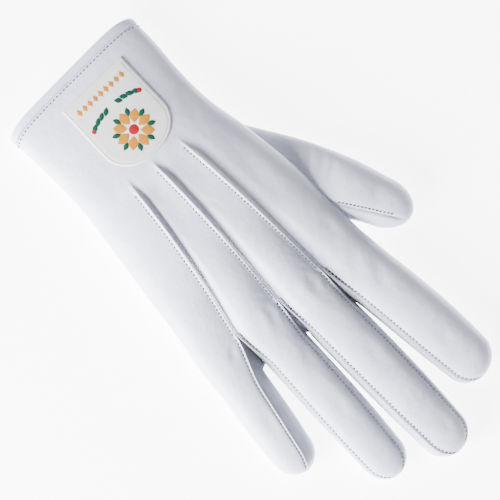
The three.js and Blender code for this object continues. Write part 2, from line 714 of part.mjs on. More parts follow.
function meshOf(name, solid, finish) {
  const { vertProperties, triVerts } = solid.getMesh();
  const geometry = new THREE.BufferGeometry();
  geometry.setAttribute("position", new THREE.BufferAttribute(vertProperties, 3));
  geometry.setIndex(new THREE.BufferAttribute(triVerts, 1));
  geometry.computeVertexNormals();
  const mesh = new THREE.Mesh(geometry, new THREE.MeshStandardMaterial(finish));
  mesh.name = name;
  return mesh;
}

const glove = new THREE.Group();
const handSheet = skinPiece("hand_shell", { wall: WALL, lip: LIP_HEIGHT });
const handRoom = withRoom(handSheet);
glove.add(meshOf("hand_shell", handSheet.subtract(thumbHole), leather));
glove.add(meshOf("cuff_hem", skinPiece("cuff_hem", { wall: HEM_WALL }), leather));
glove.add(meshOf("thumb", thumbShell.subtract(cavity), leather));
for (let line = 1; line < LINES.length - 1; line += 1) {
  const name = fourchetteName(line);
  const sheet = skinPiece(name, { wall: FOURCHETTE_WALL }).subtract(handRoom);
  glove.add(meshOf(name, mainBody(sheet), web));
}
glove.add(meshOf("badge_patch", patchSolid(), cloth));

// The glove's own frame has its origin under the middle of its box.
const box = new THREE.Box3().setFromObject(glove);
const centre = box.getCenter(new THREE.Vector3());
glove.position.set(-centre.x, -centre.y, -box.min.z);

export default glove;
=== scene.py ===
# %% [markdown]
# # A white leather parade glove
# The glove lies palm down on a pale floor and is seen from straight above. Its leather pieces are
# grids of points that are worked out section by section, from the cuff to the fingertips, because
# a glove is sewn from sheets and its shape is that of the hand it was cut for. Stitches, a patch
# and the materials come after the leather.

import functools
import math
from collections import namedtuple

import bpy
import numpy as np
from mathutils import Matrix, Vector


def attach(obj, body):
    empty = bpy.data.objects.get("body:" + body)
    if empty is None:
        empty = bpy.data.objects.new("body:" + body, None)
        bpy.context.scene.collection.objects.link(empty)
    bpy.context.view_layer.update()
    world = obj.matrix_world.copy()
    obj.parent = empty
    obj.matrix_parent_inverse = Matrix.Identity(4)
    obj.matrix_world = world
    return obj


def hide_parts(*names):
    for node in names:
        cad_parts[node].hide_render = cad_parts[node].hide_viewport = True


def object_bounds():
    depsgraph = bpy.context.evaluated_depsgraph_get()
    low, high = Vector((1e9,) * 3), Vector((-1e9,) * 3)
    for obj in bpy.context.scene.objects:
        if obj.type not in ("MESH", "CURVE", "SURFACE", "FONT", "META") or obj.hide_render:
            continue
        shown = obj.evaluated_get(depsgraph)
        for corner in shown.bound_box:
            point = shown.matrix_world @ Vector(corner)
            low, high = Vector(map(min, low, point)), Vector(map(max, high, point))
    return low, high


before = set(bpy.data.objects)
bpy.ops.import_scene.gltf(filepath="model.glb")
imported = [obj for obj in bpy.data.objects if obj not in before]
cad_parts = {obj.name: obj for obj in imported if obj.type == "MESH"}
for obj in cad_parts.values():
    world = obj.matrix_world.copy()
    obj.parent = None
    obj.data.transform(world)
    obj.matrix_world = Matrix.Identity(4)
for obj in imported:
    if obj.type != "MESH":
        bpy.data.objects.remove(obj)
cad_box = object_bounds()
print("CAD box, metres:", [list(corner) for corner in cad_box])

# %% [markdown]
# ## The unit and the frame
# The sizes below are in millimetres in the glove's own frame: X across with the thumb at -X, Y from
# the cuff's edge to the fingertips, Z up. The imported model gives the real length, so a glove that
# is packed in another size takes its looks along.

# %% The unit, and where the glove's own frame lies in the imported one
OVERALL_LENGTH = 254.62
BOX_MIDDLE = -1.88  # across, in the glove's own frame
CUFF_LOW = -0.24  # the cuff's lowest point along the glove
MM = (cad_box[1].y - cad_box[0].y) / OVERALL_LENGTH
GLOVE_ORIGIN = np.array([-BOX_MIDDLE * MM, cad_box[0].y - CUFF_LOW * MM, cad_box[0].z])
print("one millimetre of the glove is", round(MM * 1000, 4), "mm in the frame")

# %% [markdown]
# ## The hand's sizes
# These are the driving sizes of the CAD model, so that both have one shape. Only the webs, the
# fingers' seams and the fine relief differ a little. Each table has a row for a section, a line or
# a finger. Shares are of the sizes that the comments name.

# %% Sizes of the leather
HAND_LENGTH = 146.0
CUFF_WIDTH = 80.0
KNUCKLE_WIDTH = 99.4
HAND_HEIGHT = 25.0
WALL = 1.2
FOURCHETTE_WALL = 1.0
GAP = 0.3
FINGER_HEIGHT = 17.0
ROOT_BLEND = 24.0  # the stretch in which the back of the hand turns into round fingers
WEB_FADE = 1.35  # of the web's reach
TIP_LENGTH = 12.0
FLAT_REST = 1.5  # how much the palm is pressed flat where it lies
HEM_WIDTH = 4.5
CUFF_CORNER = 3.2
CUFF_SLANT = 0.5  # how much longer the cuff is on the little finger's side
CORNER_POWER = 8
EDGE_SHARE = 0.955
PALM_SEAM_SHARE = 0.86
BACK_ROUND = 2.5
FINGER_ROUND = 2.3
REST_ROUND = 3.0
REST_LEVEL = 0.48
TIP_ROUND = 0.8


def named_rows(columns, *rows):
    """A short table: the names of its columns, and a row of values for each section or fold."""
    return [dict(zip(columns.split(), row)) for row in rows]


# along is a share of HAND_LENGTH, flare goes from the cuff's width to the knuckles', middle is a
# share of KNUCKLE_WIDTH and height one of HAND_HEIGHT.
HAND_SECTIONS = named_rows(
    "along flare middle height",
    (0.0, 0.0, 0.017, 0.62), (0.11, -0.03, 0.018, 0.66), (0.23, -0.12, 0.027, 0.74),
    (0.36, -0.07, 0.033, 0.86), (0.48, 0.19, 0.034, 0.96), (0.56, 0.35, 0.037, 1.0),
    (0.68, 0.58, 0.045, 1.0), (0.85, 0.78, 0.063, 0.95), (1.0, 1.0, 0.0855, 0.86),
)

# The folded edge, the three ribs and the side seam, across as shares of the half width. ahead is a
# share of HAND_LENGTH, and web one of ROOT_BLEND. The webs come a little further than in the CAD.
LINES = named_rows(
    "cuff halfway fork ahead web",
    (-EDGE_SHARE, -EDGE_SHARE, -EDGE_SHARE, 0.027, 0.0),
    (-0.4, -0.415, -0.475, 0.0137, 0.84),
    (-0.01, 0.002, 0.01, -0.02, 0.78),
    (0.3, 0.395, 0.515, -0.034, 0.69),
    (EDGE_SHARE, EDGE_SHARE, EDGE_SHARE, -0.027, 0.0),
)
HALFWAY = 0.6  # of the way from the cuff to the forks

# lean is in degrees, bow is a share of the width and height one of FINGER_HEIGHT. The seams of the
# back lie at shares of the half width, at the root and near the tip.
FINGERS = named_rows(
    "name length width lean bow height radial_root radial_tip ulnar_root ulnar_tip",
    ("index", 89.3, 27.1, -4.0, -0.037, 1.0, -EDGE_SHARE, -EDGE_SHARE, 0.82, 0.86),
    ("middle", 108.9, 25.6, 1.9, -0.012, 1.0, -0.88, -0.95, 0.88, 0.72),
    ("ring", 99.7, 23.5, 3.9, -0.01, 0.97, -0.91, -0.82, 0.84, 0.94),
    ("little", 69.1, 22.7, 10.3, 0.02, 0.92, -0.64, -0.3, EDGE_SHARE, EDGE_SHARE),
)
FINGER_SECTIONS = named_rows(
    "along wide tall",
    (0.0, 0.97, 1.06), (0.35, 1.01, 1.02), (0.75, 1.0, 0.98), (1.0, 0.93, 0.88),
)

# %% [markdown]
# ## The relief of the back
# Three ribs run up the back to the forks. Each is a tuck: the leather is pinched into a narrow
# ridge and stitched beside it, and it lies over towards the thumb, with a groove on that side.
# Folds are the soft creases that the leather took in wear, one row for each. They are kept in a
# table because no formula gives where leather creases.

# %% Sizes of the relief
RIB_HEIGHT = 1.3
RIB_WIDTH = 2.4
RIB_STEEP = 0.62  # how much narrower a rib is on the thumb's side
RIB_FROM = 56.6  # from the cuff's edge, just past the patch
RIB_RISE = 15.0
# The groove on the thumb's side of each rib, with its offset from the rib's middle line.
VALLEYS = named_rows(
    "depth width offset",
    (0.75, 5.6, 3.6), (0.75, 3.8, 2.8), (0.7, 2.8, 2.2),
)
HOLLOW_DEPTH = 0.9
FORK_DEPTH = 4.6
FORK_REACH = 42.0
FORK_SWELL = 0.7
LIP_HEIGHT = 0.5  # the lapped edge beside a finger's seam
LIP_WIDTH = 1.1
SEAM_GROOVE = 0.28
SEAM_GROOVE_WIDTH = 0.5
SEAM_INSET = 1.3  # from the edge to the stitches, seen from above
SEAM_RISE = 3.0  # from the fork, over which the relief of a seam begins
FOLD_RISE = 6.0  # and over which the folds of a finger do
PUCKER_DEPTH = 0.26
PUCKER_PITCH = 2.7
PUCKER_WIDTH = 4.5
PUCKER_REACH = 26.0  # how far the puckers go from a fork

# x0, y0 to x1, y1 is the line of a fold in the glove's own frame, width its half width and depth
# how far it goes in.
FOLD_COLUMNS = "x0 y0 x1 y1 width depth"
BACK_FOLDS = named_rows(
    FOLD_COLUMNS,
    (-28, 66, -24, 128, 5.0, 0.7), (-36, 128, -27, 150, 3.0, 0.35), (-33, 148, -22, 170, 3.2, 0.4),
    (-38, 158, -27, 182, 3.0, 0.4), (-9, 140, -4, 163, 2.6, 0.35), (-6, 180, -3, 208, 3.0, 0.35),
    (13, 138, 22, 160, 2.2, 0.45), (18, 136, 28, 156, 2.4, 0.35), (15, 162, 21, 184, 2.8, 0.4),
    (22, 186, 27, 210, 2.6, 0.3), (37, 140, 46, 152, 2.2, 0.4), (50, 172, 56, 192, 2.6, 0.3),
    (-6, 98, 2, 84, 2.0, 0.2), (-34, 40, -24, 62, 3.5, 0.35), (20, 44, 30, 66, 4.0, 0.3),
    (-30, 222, -34, 202, 3.0, 0.3), (-4, 232, -3, 247, 2.4, 0.35),
)
# Fine creases spread from each fork over the backs of both fingers, in a fan.
CREASES_AT_FORK = 8
CREASE_START = 3.0  # from the fork
CREASE_LENGTHS = (7.0, 10.5, 8.5)
CREASE_WIDTH = 0.95
CREASE_DEPTH = 0.26
CREASE_SPREAD = 66.0  # degrees to both sides of straight across
PALM_FOLDS = named_rows(
    FOLD_COLUMNS,
    (-30, 118, 34, 128, 2.2, 0.8), (-34, 108, 20, 98, 2.0, 0.7), (-14, 46, -22, 106, 2.4, 0.8),
    (-30, 26, 30, 30, 2.0, 0.5), (-42, 172, -16, 174, 1.6, 0.6), (-12, 178, 10, 177, 1.6, 0.6),
    (14, 176, 36, 173, 1.6, 0.6), (42, 166, 62, 160, 1.6, 0.6), (-44, 204, -20, 206, 1.5, 0.5),
    (-13, 214, 10, 213, 1.5, 0.5), (16, 208, 38, 205, 1.5, 0.5),
)


# %% Curves and shares
def mix(a, b, share):
    return a + (b - a) * share


def clamp(value):
    return min(1.0, max(0.0, value))


UPWARD = np.array([0.0, 0.0, 1.0])


def ease(value):
    share = clamp(value)
    return share * share * (3 - 2 * share)


def bell(value):
    return math.exp(-value * value)


def power(value, exponent):
    return math.copysign(abs(value) ** exponent, value)


def read(table, column, along):
    """The value of a column at a place along, on a smooth curve through the rows."""
    last = len(table) - 1
    i = 0
    while i < last - 1 and along > table[i + 1]["along"]:
        i += 1

    def slope(j):
        low = table[max(0, j - 1)]
        high = table[min(last, j + 1)]
        return (high[column] - low[column]) / (high["along"] - low["along"])

    span = table[i + 1]["along"] - table[i]["along"]
    s = clamp((along - table[i]["along"]) / span)
    bend = span * (slope(i) * s * (1 - s) ** 2 - slope(i + 1) * s**2 * (1 - s))
    return mix(table[i][column], table[i + 1][column], ease(s)) + bend


def fold_depth(folds, x, y):
    """How far all the folds of a table go in at a place. Each fades out towards its ends."""
    depth = 0.0
    for fold in folds:
        run = (fold["x1"] - fold["x0"], fold["y1"] - fold["y0"])
        length = math.hypot(*run)
        from_start = (x - fold["x0"], y - fold["y0"])
        share = (from_start[0] * run[0] + from_start[1] * run[1]) / length**2
        if not 0 < share < 1:
            continue
        away = (from_start[0] * run[1] - from_start[1] * run[0]) / length
        depth += fold["depth"] * bell(away / fold["width"]) * math.sin(math.pi * share) ** 2
    return depth


# %% [markdown]
# ## Sections of the hand and the fingers
# Each section is a rounded outline, fuller than an ellipse, and flat where it rests. A place on the
# leather is named by its zone (back, palm or side), its finger and its share across, and the same
# names serve the hand and the fingers, so that their points meet at the knuckles.

# %% The sections of the hand
Place = namedtuple("Place", "zone finger share sign")


@functools.cache
def hand_width(along):
    return mix(CUFF_WIDTH, KNUCKLE_WIDTH, read(HAND_SECTIONS, "flare", along))


@functools.cache
def hand_middle(along):
    return KNUCKLE_WIDTH * read(HAND_SECTIONS, "middle", along)


@functools.cache
def hand_height(along):
    return HAND_HEIGHT * read(HAND_SECTIONS, "height", along)


def fork_creases():
    """Rows for BACK_FOLDS: the fans of creases at the forks."""
    rows = []
    for line in LINES[1:-1]:
        x = hand_middle(1.0) + line["fork"] * hand_width(1.0) / 2
        y = HAND_LENGTH * (1 + line["ahead"])
        for i in range(CREASES_AT_FORK):
            turn = math.radians(mix(-CREASE_SPREAD, CREASE_SPREAD, i / (CREASES_AT_FORK - 1)))
            run = (math.cos(turn) if i % 2 else -math.cos(turn), math.sin(turn))
            end = CREASE_START + CREASE_LENGTHS[i % len(CREASE_LENGTHS)]
            ends = [(x + run[0] * far, y + run[1] * far) for far in (CREASE_START, end)]
            rows.append((*ends[0], *ends[1], CREASE_WIDTH, CREASE_DEPTH))
    return named_rows(FOLD_COLUMNS, *rows)


BACK_FOLDS += fork_creases()


@functools.cache
def line_across(number, along):
    line = LINES[number]
    rows = (0.0, line["cuff"]), (HALFWAY, line["halfway"]), (1.0, line["fork"])
    return read(named_rows("along across", *rows), "across", along)


def arch(across, fullness):
    return max(0.0, 1 - abs(across) ** fullness) ** (1 / fullness)


def section_height(height, up, flat=1.0):
    """The height of a place on a section: up is 1 at the back, 0 where it is widest, -1 below."""
    level = height * REST_LEVEL
    if up > 0:
        return level + (height - level) * up * flat
    return max(0.0, level + (level + FLAT_REST) * (up * flat))


def side_arc(back_seam, palm_seam, sign, share, fullness):
    """Goes round a side of a section, from the seam of the back at 0 to that of the palm at 1."""

    def turned(place, roundness):
        return math.acos(power(sign * place, roundness / 2))

    angle = mix(turned(back_seam, fullness), -turned(palm_seam, REST_ROUND), share)
    roundness = fullness if angle > 0 else REST_ROUND
    outward = power(math.cos(angle), 2 / roundness)
    return sign * outward, power(math.sin(angle), 2 / roundness)


def rib_rise(along):
    return ease((along * HAND_LENGTH - RIB_FROM) / RIB_RISE)


def relief(finger, share, across, along):
    """What the forks, ribs, valleys and hollows add to the back of the hand."""
    left = 1 if finger > 0 else 0
    right = 1 if finger < len(FINGERS) - 1 else 0
    phase = mix(0 if left else 0.5, 1 if right else 0.5, share)
    swell = math.sin(math.pi * phase)
    back = (1 - along) * HAND_LENGTH
    dip = FORK_DEPTH * bell(back / FORK_REACH) * (1 - swell**FORK_SWELL)
    hollow = HOLLOW_DEPTH * swell * ease(back / FORK_REACH) * rib_rise(along)
    total = -dip - hollow * (1 if left and right else 0.5)
    for number in range(1, len(LINES) - 1):
        away = (across - line_across(number, along)) * hand_width(along) / 2
        narrow = RIB_WIDTH if away > 0 else RIB_WIDTH * RIB_STEEP
        ridge = RIB_HEIGHT * bell(2 * away / narrow)
        groove = VALLEYS[number - 1]
        valley = groove["depth"] * bell(2 * (away + groove["offset"]) / groove["width"])
        total += (ridge - valley) * rib_rise(along)
    return total


def hand_point(place, along):
    beyond = 1 if place.zone == "side" and place.sign > 0 else 0
    number = place.finger + beyond
    following = number if place.zone == "side" else number + 1
    ahead = mix(LINES[number]["ahead"], LINES[following]["ahead"], place.share)
    end = HAND_LENGTH * (1 + ahead)
    height = hand_height(along)
    if place.zone == "side":
        seam = place.sign * EDGE_SHARE
        across, up = side_arc(seam, seam, place.sign, place.share, BACK_ROUND)
        z = section_height(height, up)
    else:
        across = mix(line_across(number, along), line_across(following, along), place.share)
        if place.zone == "back":
            z = section_height(height, arch(across, BACK_ROUND))
            z += relief(place.finger, place.share, across, along)
        else:
            z = section_height(height, -arch(across, REST_ROUND))
    x = hand_middle(along) + across * hand_width(along) / 2
    cuff_edge = CUFF_CORNER * abs(across) ** CORNER_POWER - CUFF_SLANT * across
    y = mix(cuff_edge, end, along)
    if place.zone == "back":
        z -= fold_depth(BACK_FOLDS, x, y)
    elif place.zone == "palm":
        z += fold_depth(PALM_FOLDS, x, y)
    return np.array([x, y, z])


# %% The sections of a finger
def finger_axes(finger):
    """The directions along and across a finger."""
    sine, cosine = math.sin(math.radians(finger["lean"])), math.cos(math.radians(finger["lean"]))
    return np.array([sine, cosine, 0.0]), np.array([cosine, -sine, 0.0])


def finger_middle(finger, root, distance):
    side = finger["bow"] * finger["width"] * math.sin(math.pi * distance / finger["length"])
    along, across = finger_axes(finger)
    return np.array([root[0], root[1], 0.0]) + along * distance + across * side


def tip_share(distance, length, tip):
    """How much a round tip of the given length narrows a section."""
    into = clamp((distance - (length - tip)) / tip)
    return math.sqrt(max(0.0, 1 - into * into))


def seam_relief(from_edge, from_fork):
    """The lapped edge of the back beside a seam, its groove of stitches and the puckers."""
    lip = LIP_HEIGHT * (1 - ease(from_edge / LIP_WIDTH))
    groove = SEAM_GROOVE * bell((from_edge - SEAM_INSET) / SEAM_GROOVE_WIDTH)
    wave = math.sin(2 * math.pi * from_fork / PUCKER_PITCH)
    fade = bell(from_edge / PUCKER_WIDTH) * bell(from_fork / PUCKER_REACH)
    return lip - groove + PUCKER_DEPTH * wave * fade


def finger_point(index, root, place, distance):
    finger = FINGERS[index]
    along = clamp(distance / (finger["length"] - TIP_LENGTH))
    tip = tip_share(distance, finger["length"], TIP_LENGTH)
    half = finger["width"] / 2 * read(FINGER_SECTIONS, "wide", along) * tip
    height = FINGER_HEIGHT * finger["height"] * read(FINGER_SECTIONS, "tall", along)
    reach = distance / finger["length"]
    radial = mix(finger["radial_root"], finger["radial_tip"], reach)
    ulnar = mix(finger["ulnar_root"], finger["ulnar_tip"], reach)
    if place.zone == "back":
        across = mix(radial, ulnar, place.share)
        up = arch(across, FINGER_ROUND)
    elif place.zone == "palm":
        across = mix(-PALM_SEAM_SHARE, PALM_SEAM_SHARE, place.share)
        up = -arch(across, REST_ROUND)
    else:
        seam = ulnar if place.sign > 0 else radial
        palm_seam = place.sign * PALM_SEAM_SHARE
        across, up = side_arc(seam, palm_seam, place.sign, place.share, FINGER_ROUND)
    point = finger_middle(finger, root, distance) + finger_axes(finger)[1] * across * half
    point[2] = section_height(height, up, tip**TIP_ROUND)
    return point


# %% [markdown]
# ## The skin
# One grid of points covers the whole hand: rows across the hand up to the knuckles, then rows round
# each finger. Its columns crowd together beside the ribs and seams, where the relief is fine. The
# cells carry the name of their piece, so the hand and the strips between the fingers are parts of
# one surface and fit each other by themselves.

# %% How finely the skin is cut
BACK_COLUMNS = 30
SIDE_COLUMNS = 8
PALM_COLUMNS = 10
ROW_STEP = 1.3
TIP_ROWS = 12
SLOT_TIP_ROWS = 6  # the rows of the tip that a fourchette reaches
CROWDING = 0.62


def back_shares():
    even = [i / BACK_COLUMNS for i in range(BACK_COLUMNS + 1)]
    return [u - CROWDING * math.sin(2 * math.pi * u) / (2 * math.pi) for u in even]


SHARES = back_shares()


def back_places(index, start=0):
    return [Place("back", index, share, 0) for share in SHARES[start:]]


def palm_places(index, start=0):
    steps = range(start, PALM_COLUMNS + 1)
    return [Place("palm", index, 1 - i / PALM_COLUMNS, 0) for i in steps]


def side_places(index, sign):
    return [Place("side", index, i / SIDE_COLUMNS, sign) for i in range(1, SIDE_COLUMNS)][::sign]


def finger_places(index):
    return back_places(index) + side_places(index, 1) + palm_places(index) + side_places(index, -1)


def hand_places():
    """The places of all four fingers, without those that two neighbours share."""
    numbers = range(len(FINGERS))
    last = numbers[-1]
    backs = [place for i in numbers for place in back_places(i, min(i, 1))]
    palms = [place for i in reversed(numbers) for place in palm_places(i, min(last - i, 1))]
    return backs + side_places(last, 1) + palms + side_places(0, -1)


class Skin:
    """Points, with the cells between them, each cell marked with its piece."""

    def __init__(self):
        self.points = []
        self.cells = []

    def add(self, point):
        self.points.append(np.array(point, float))
        return len(self.points) - 1

    def cell(self, piece, corners):
        kept = [c for i, c in enumerate(corners) if c != corners[(i + 1) % len(corners)]]
        self.cells.append((piece, kept))

    def join(self, first, second, piece_of):
        for i in range(len(first)):
            j = (i + 1) % len(first)
            self.cell(piece_of(i), [first[i], first[j], second[j], second[i]])


def cells_between(low, high, count, closed=True):
    """Cells between two rows of points, which start at two places in a list."""
    steps = range(count if closed else count - 1)
    return [[low + i, low + (i + 1) % count, high + (i + 1) % count, high + i] for i in steps]


def fan(ring, middle, turned=False):
    """Triangles from a closed ring to a middle point, with the other side up if turned."""
    pairs = [(corner, ring[(i + 1) % len(ring)]) for i, corner in enumerate(ring)]
    return [[b, a, middle] if turned else [a, b, middle] for a, b in pairs]


def web_shape(share):
    return 1 - (1 - 2 * share) ** 2


def web_reach(number):
    return LINES[number]["web"] * ROOT_BLEND


def row_distances(length, tip):
    count = round((length - tip) / ROW_STEP)
    distances = [(length - tip) * i / count for i in range(1, count + 1)]
    turns = [math.sin(math.pi / 2 * i / TIP_ROWS) for i in range(1, TIP_ROWS)]
    return distances + [length - tip + tip * turn for turn in turns]


def line_of(place, index):
    return index + 1 if place.sign > 0 else index


def fourchette_name(number):
    return f"fourchette_{FINGERS[number - 1]['name']}_{FINGERS[number]['name']}"


# %% The grid of the hand and the curves of the forks
skin = Skin()
hand_loop = hand_places()
hand_index = {place: i for i, place in enumerate(hand_loop)}
hem_share = HEM_WIDTH / HAND_LENGTH
row_count = round((HAND_LENGTH - HEM_WIDTH) / ROW_STEP)
hand_rows = []
for row in range(row_count + 1):
    along = mix(hem_share, 1.0, row / row_count)
    hand_rows.append([skin.add(hand_point(place, along)) for place in hand_loop])
for first, second in zip(hand_rows, hand_rows[1:]):
    skin.join(first, second, lambda i: "hand_shell")


def root_corner(place):
    found = hand_index.get(place)
    return None if found is None else hand_rows[-1][found]


def fork_corner(zone, number):
    before = root_corner(Place(zone, number - 1, 1.0, 0))
    return root_corner(Place(zone, number, 0.0, 0)) if before is None else before


fork_curves = {}
for number in range(1, len(LINES) - 1):
    top = skin.points[fork_corner("back", number)]
    bottom = skin.points[fork_corner("palm", number)]
    curve = []
    for i in range(1, SIDE_COLUMNS):
        share = i / SIDE_COLUMNS
        point = mix(top, bottom, share)
        point[1] += web_reach(number) * web_shape(share)
        curve.append(skin.add(point))
    fork_curves[number] = curve
print("hand rows:", len(hand_rows), "of", len(hand_loop), "points")


# %% The grids of the fingers
def root_corners(index, places):
    corners = []
    for place in places:
        at_end = place.zone != "side" and place.share in (0.0, 1.0)
        number = line_of(place, index)
        if at_end:
            found = fork_corner(place.zone, index + int(place.share))
            corners.append(root_corner(place) if found is None else found)
        elif place.zone == "side" and number in fork_curves:
            corners.append(fork_curves[number][round(place.share * SIDE_COLUMNS) - 1])
        else:
            corners.append(root_corner(place))
    return corners


def add_back_relief(index, place, point, width, distance):
    for side, number in ((place.share, index), (1 - place.share, index + 1)):
        if number in fork_curves:
            point[2] += ease(distance / SEAM_RISE) * seam_relief(side * width, distance)
    point[2] -= fold_depth(BACK_FOLDS, point[0], point[1]) * ease(distance / FOLD_RISE)


def build_finger(index):
    finger = FINGERS[index]
    places = finger_places(index)
    corners = root_corners(index, places)
    ends = [skin.points[corners[0]], skin.points[corners[BACK_COLUMNS]]]
    root = mix(ends[0], ends[1], 0.5)
    start = finger_middle(finger, root, 0)
    rows = [corners]
    for distance in row_distances(finger["length"], TIP_LENGTH):
        travel = finger_middle(finger, root, distance) - start
        row = []
        for place, corner in zip(places, corners):
            reach = web_reach(line_of(place, index)) if place.zone == "side" else 0.0
            shift = np.array([0.0, reach * web_shape(place.share), 0.0])
            came_from = skin.points[corner] + travel - shift
            goes_to = finger_point(index, root, place, distance)
            point = mix(came_from, goes_to, ease(distance / ROOT_BLEND))
            if reach:
                point += shift * (1 - ease(distance / (WEB_FADE * reach)))
            if place.zone == "back":
                tip = tip_share(distance, finger["length"], TIP_LENGTH)
                add_back_relief(index, place, point, finger["width"] * tip, distance)
            if place.zone == "palm":
                point[2] += fold_depth(PALM_FOLDS, point[0], point[1])
            row.append(skin.add(point))
        rows.append(row)
    slot_rows = len(rows) - TIP_ROWS + SLOT_TIP_ROWS
    palm_end = BACK_COLUMNS + SIDE_COLUMNS + PALM_COLUMNS
    side_starts = {index + 1: BACK_COLUMNS, index: palm_end}

    def piece_of(row, i):
        for number, start in side_starts.items():
            in_side = start <= i < start + SIDE_COLUMNS
            if in_side and number in fork_curves and row < slot_rows:
                return fourchette_name(number)
        return "hand_shell"

    for r, (first, second) in enumerate(zip(rows, rows[1:])):
        skin.join(first, second, lambda i, r=r: piece_of(r, i))
    end = finger_middle(finger, root, finger["length"])
    end[2] = FINGER_HEIGHT * finger["height"] * REST_LEVEL
    pole = skin.add(end)
    for corners in fan(rows[-1], pole):
        skin.cell("hand_shell", corners)
    return rows


finger_rows = [build_finger(index) for index in range(len(FINGERS))]
print("skin:", len(skin.points), "points and", len(skin.cells), "cells")


# %% [markdown]
# ## From a skin to sheets of leather
# A sheet has its outer face on the skin and its inner face a wall's thickness inside, along the
# normals of the whole skin, so that neighbours stay in line. Each sheet is closed by a narrow band
# along its edges, like cut leather.

# %% Sheets as meshes
DRAWN_BACK = 0.08


def skin_normals(points, cells):
    normals = np.zeros((len(points), 3))
    for corners in cells:
        for i in range(1, len(corners) - 1):
            trio = [corners[0], corners[i], corners[i + 1]]
            a, b, c = points[trio]
            normals[trio] += np.cross(b - a, c - a)
    lengths = np.linalg.norm(normals, axis=1, keepdims=True)
    return normals / np.maximum(lengths, 1e-12)


def open_edges(cells):
    """The edges that only one cell has, in the direction of that cell."""
    edges = {}
    for corners in cells:
        for i, corner in enumerate(corners):
            following = corners[(i + 1) % len(corners)]
            if edges.pop((following, corner), None) is None:
                edges[(corner, following)] = True
    return list(edges)


def in_frame(points):
    return np.asarray(points) * MM + GLOVE_ORIGIN


def mesh_piece(name, points, faces):
    """An object from points in the glove's own frame, with its place in the mesh."""
    mesh = bpy.data.meshes.new(name)
    mesh.from_pydata(in_frame(points).tolist(), [], [list(face) for face in faces])
    mesh.update()
    piece = bpy.data.objects.new(name, mesh)
    bpy.context.scene.collection.objects.link(piece)
    mesh.shade_smooth()
    return piece


def sheet_faces(cells, count, edges):
    inner = [[corner + count for corner in reversed(corners)] for corners in cells]
    walls = [[b, a, a + count, b + count] for a, b in edges]
    return cells + inner + walls


def leather_sheet(name, node, wall):
    """The sheet of one piece. Its outer edge is drawn back, so that seams show as thin lines."""
    cells = [corners for piece, corners in skin.cells if piece == node]
    edges = open_edges(cells)
    used = sorted({corner for corners in cells for corner in corners})
    renumber = {corner: i for i, corner in enumerate(used)}
    cells = [[renumber[corner] for corner in corners] for corners in cells]
    edges = [(renumber[a], renumber[b]) for a, b in edges]
    outer = all_points[used].copy()
    normals = all_normals[used]
    pull = np.zeros_like(outer)
    for corners in cells:
        pull[corners] += outer[corners].mean(axis=0) - outer[corners]
    for corner in {corner for edge in edges for corner in edge}:
        length = max(np.linalg.norm(pull[corner]), 1e-12)
        outer[corner] += pull[corner] / length * DRAWN_BACK
    points = np.vstack([outer, outer - normals * wall])
    return mesh_piece(name, points, sheet_faces(cells, len(used), edges))


all_points = np.array(skin.points)
all_cells = [corners for _, corners in skin.cells]
all_normals = skin_normals(all_points, all_cells)
hand = leather_sheet("hand_leather", "hand_shell", WALL)
print("hand:", len(hand.data.polygons), "faces")

fourchettes = {}
for number in fork_curves:
    node = fourchette_name(number)
    fourchettes[node] = leather_sheet(node + "_leather", node, FOURCHETTE_WALL)
    print(node, len(fourchettes[node].data.polygons), "faces")


# %% [markdown]
# ## The thumb
# The thumb is a piece of its own, set into the palm beside the folded edge. It is a round sleeve
# of sections along a leaning line. Where it meets the hand, each is cut to the other, as the real
# pieces are cut and then sewn edge to edge.

# %% Sizes of the thumb
THUMB_LENGTH = 88.0
THUMB_WIDTH = 27.4
THUMB_HEIGHT = 16.0
THUMB_TIP = 16.5
THUMB_LEAN = 22.0  # degrees
THUMB_ROOT = 80.4  # from the cuff's edge
THUMB_INSET = 9.3  # from the folded edge
THUMB_SECTIONS = named_rows(
    "along wide tall",
    (0.0, 0.72, 0.62), (0.4, 0.98, 0.76), (0.75, 1.0, 1.0), (1.0, 0.87, 0.94),
)
THUMB_COLUMNS = 96
THUMB_FOLDS = named_rows(
    FOLD_COLUMNS,
    (-58, 110, -43, 121, 1.5, 0.5), (-60, 116, -42, 126, 1.6, 0.5), (-55, 103, -42, 115, 1.5, 0.4),
    (-64, 138, -54, 146, 2.4, 0.3),
)
# The seam on the upper side runs from the hand's edge along the inner side to near the tip.
THUMB_SEAM = (
    (-39.5, 128.5), (-42.0, 133.0), (-46.0, 139.5), (-50.0, 146.0), (-54.0, 152.6), (-57.5, 158.4)
)
THUMB_SEAM_GROOVE = 0.8
THUMB_SEAM_WIDTH = 0.7
THUMB_ROOM = 0.12  # between the thumb and the hole that it is set in


def line_distance(x, y, line):
    """How far a place lies from a line of points."""
    best = math.inf
    for (x0, y0), (x1, y1) in zip(line, line[1:]):
        run = (x1 - x0, y1 - y0)
        share = clamp(((x - x0) * run[0] + (y - y0) * run[1]) / (run[0] ** 2 + run[1] ** 2))
        best = min(best, math.hypot(x - x0 - run[0] * share, y - y0 - run[1] * share))
    return best


thumb_lean = math.radians(THUMB_LEAN)
thumb_along = np.array([-math.sin(thumb_lean), math.cos(thumb_lean), 0.0])
thumb_across = np.array([math.cos(thumb_lean), math.sin(thumb_lean), 0.0])
thumb_share = THUMB_ROOT / HAND_LENGTH
thumb_edge = hand_middle(thumb_share) - hand_width(thumb_share) / 2
thumb_root = np.array([thumb_edge + THUMB_INSET, THUMB_ROOT, 0.0])


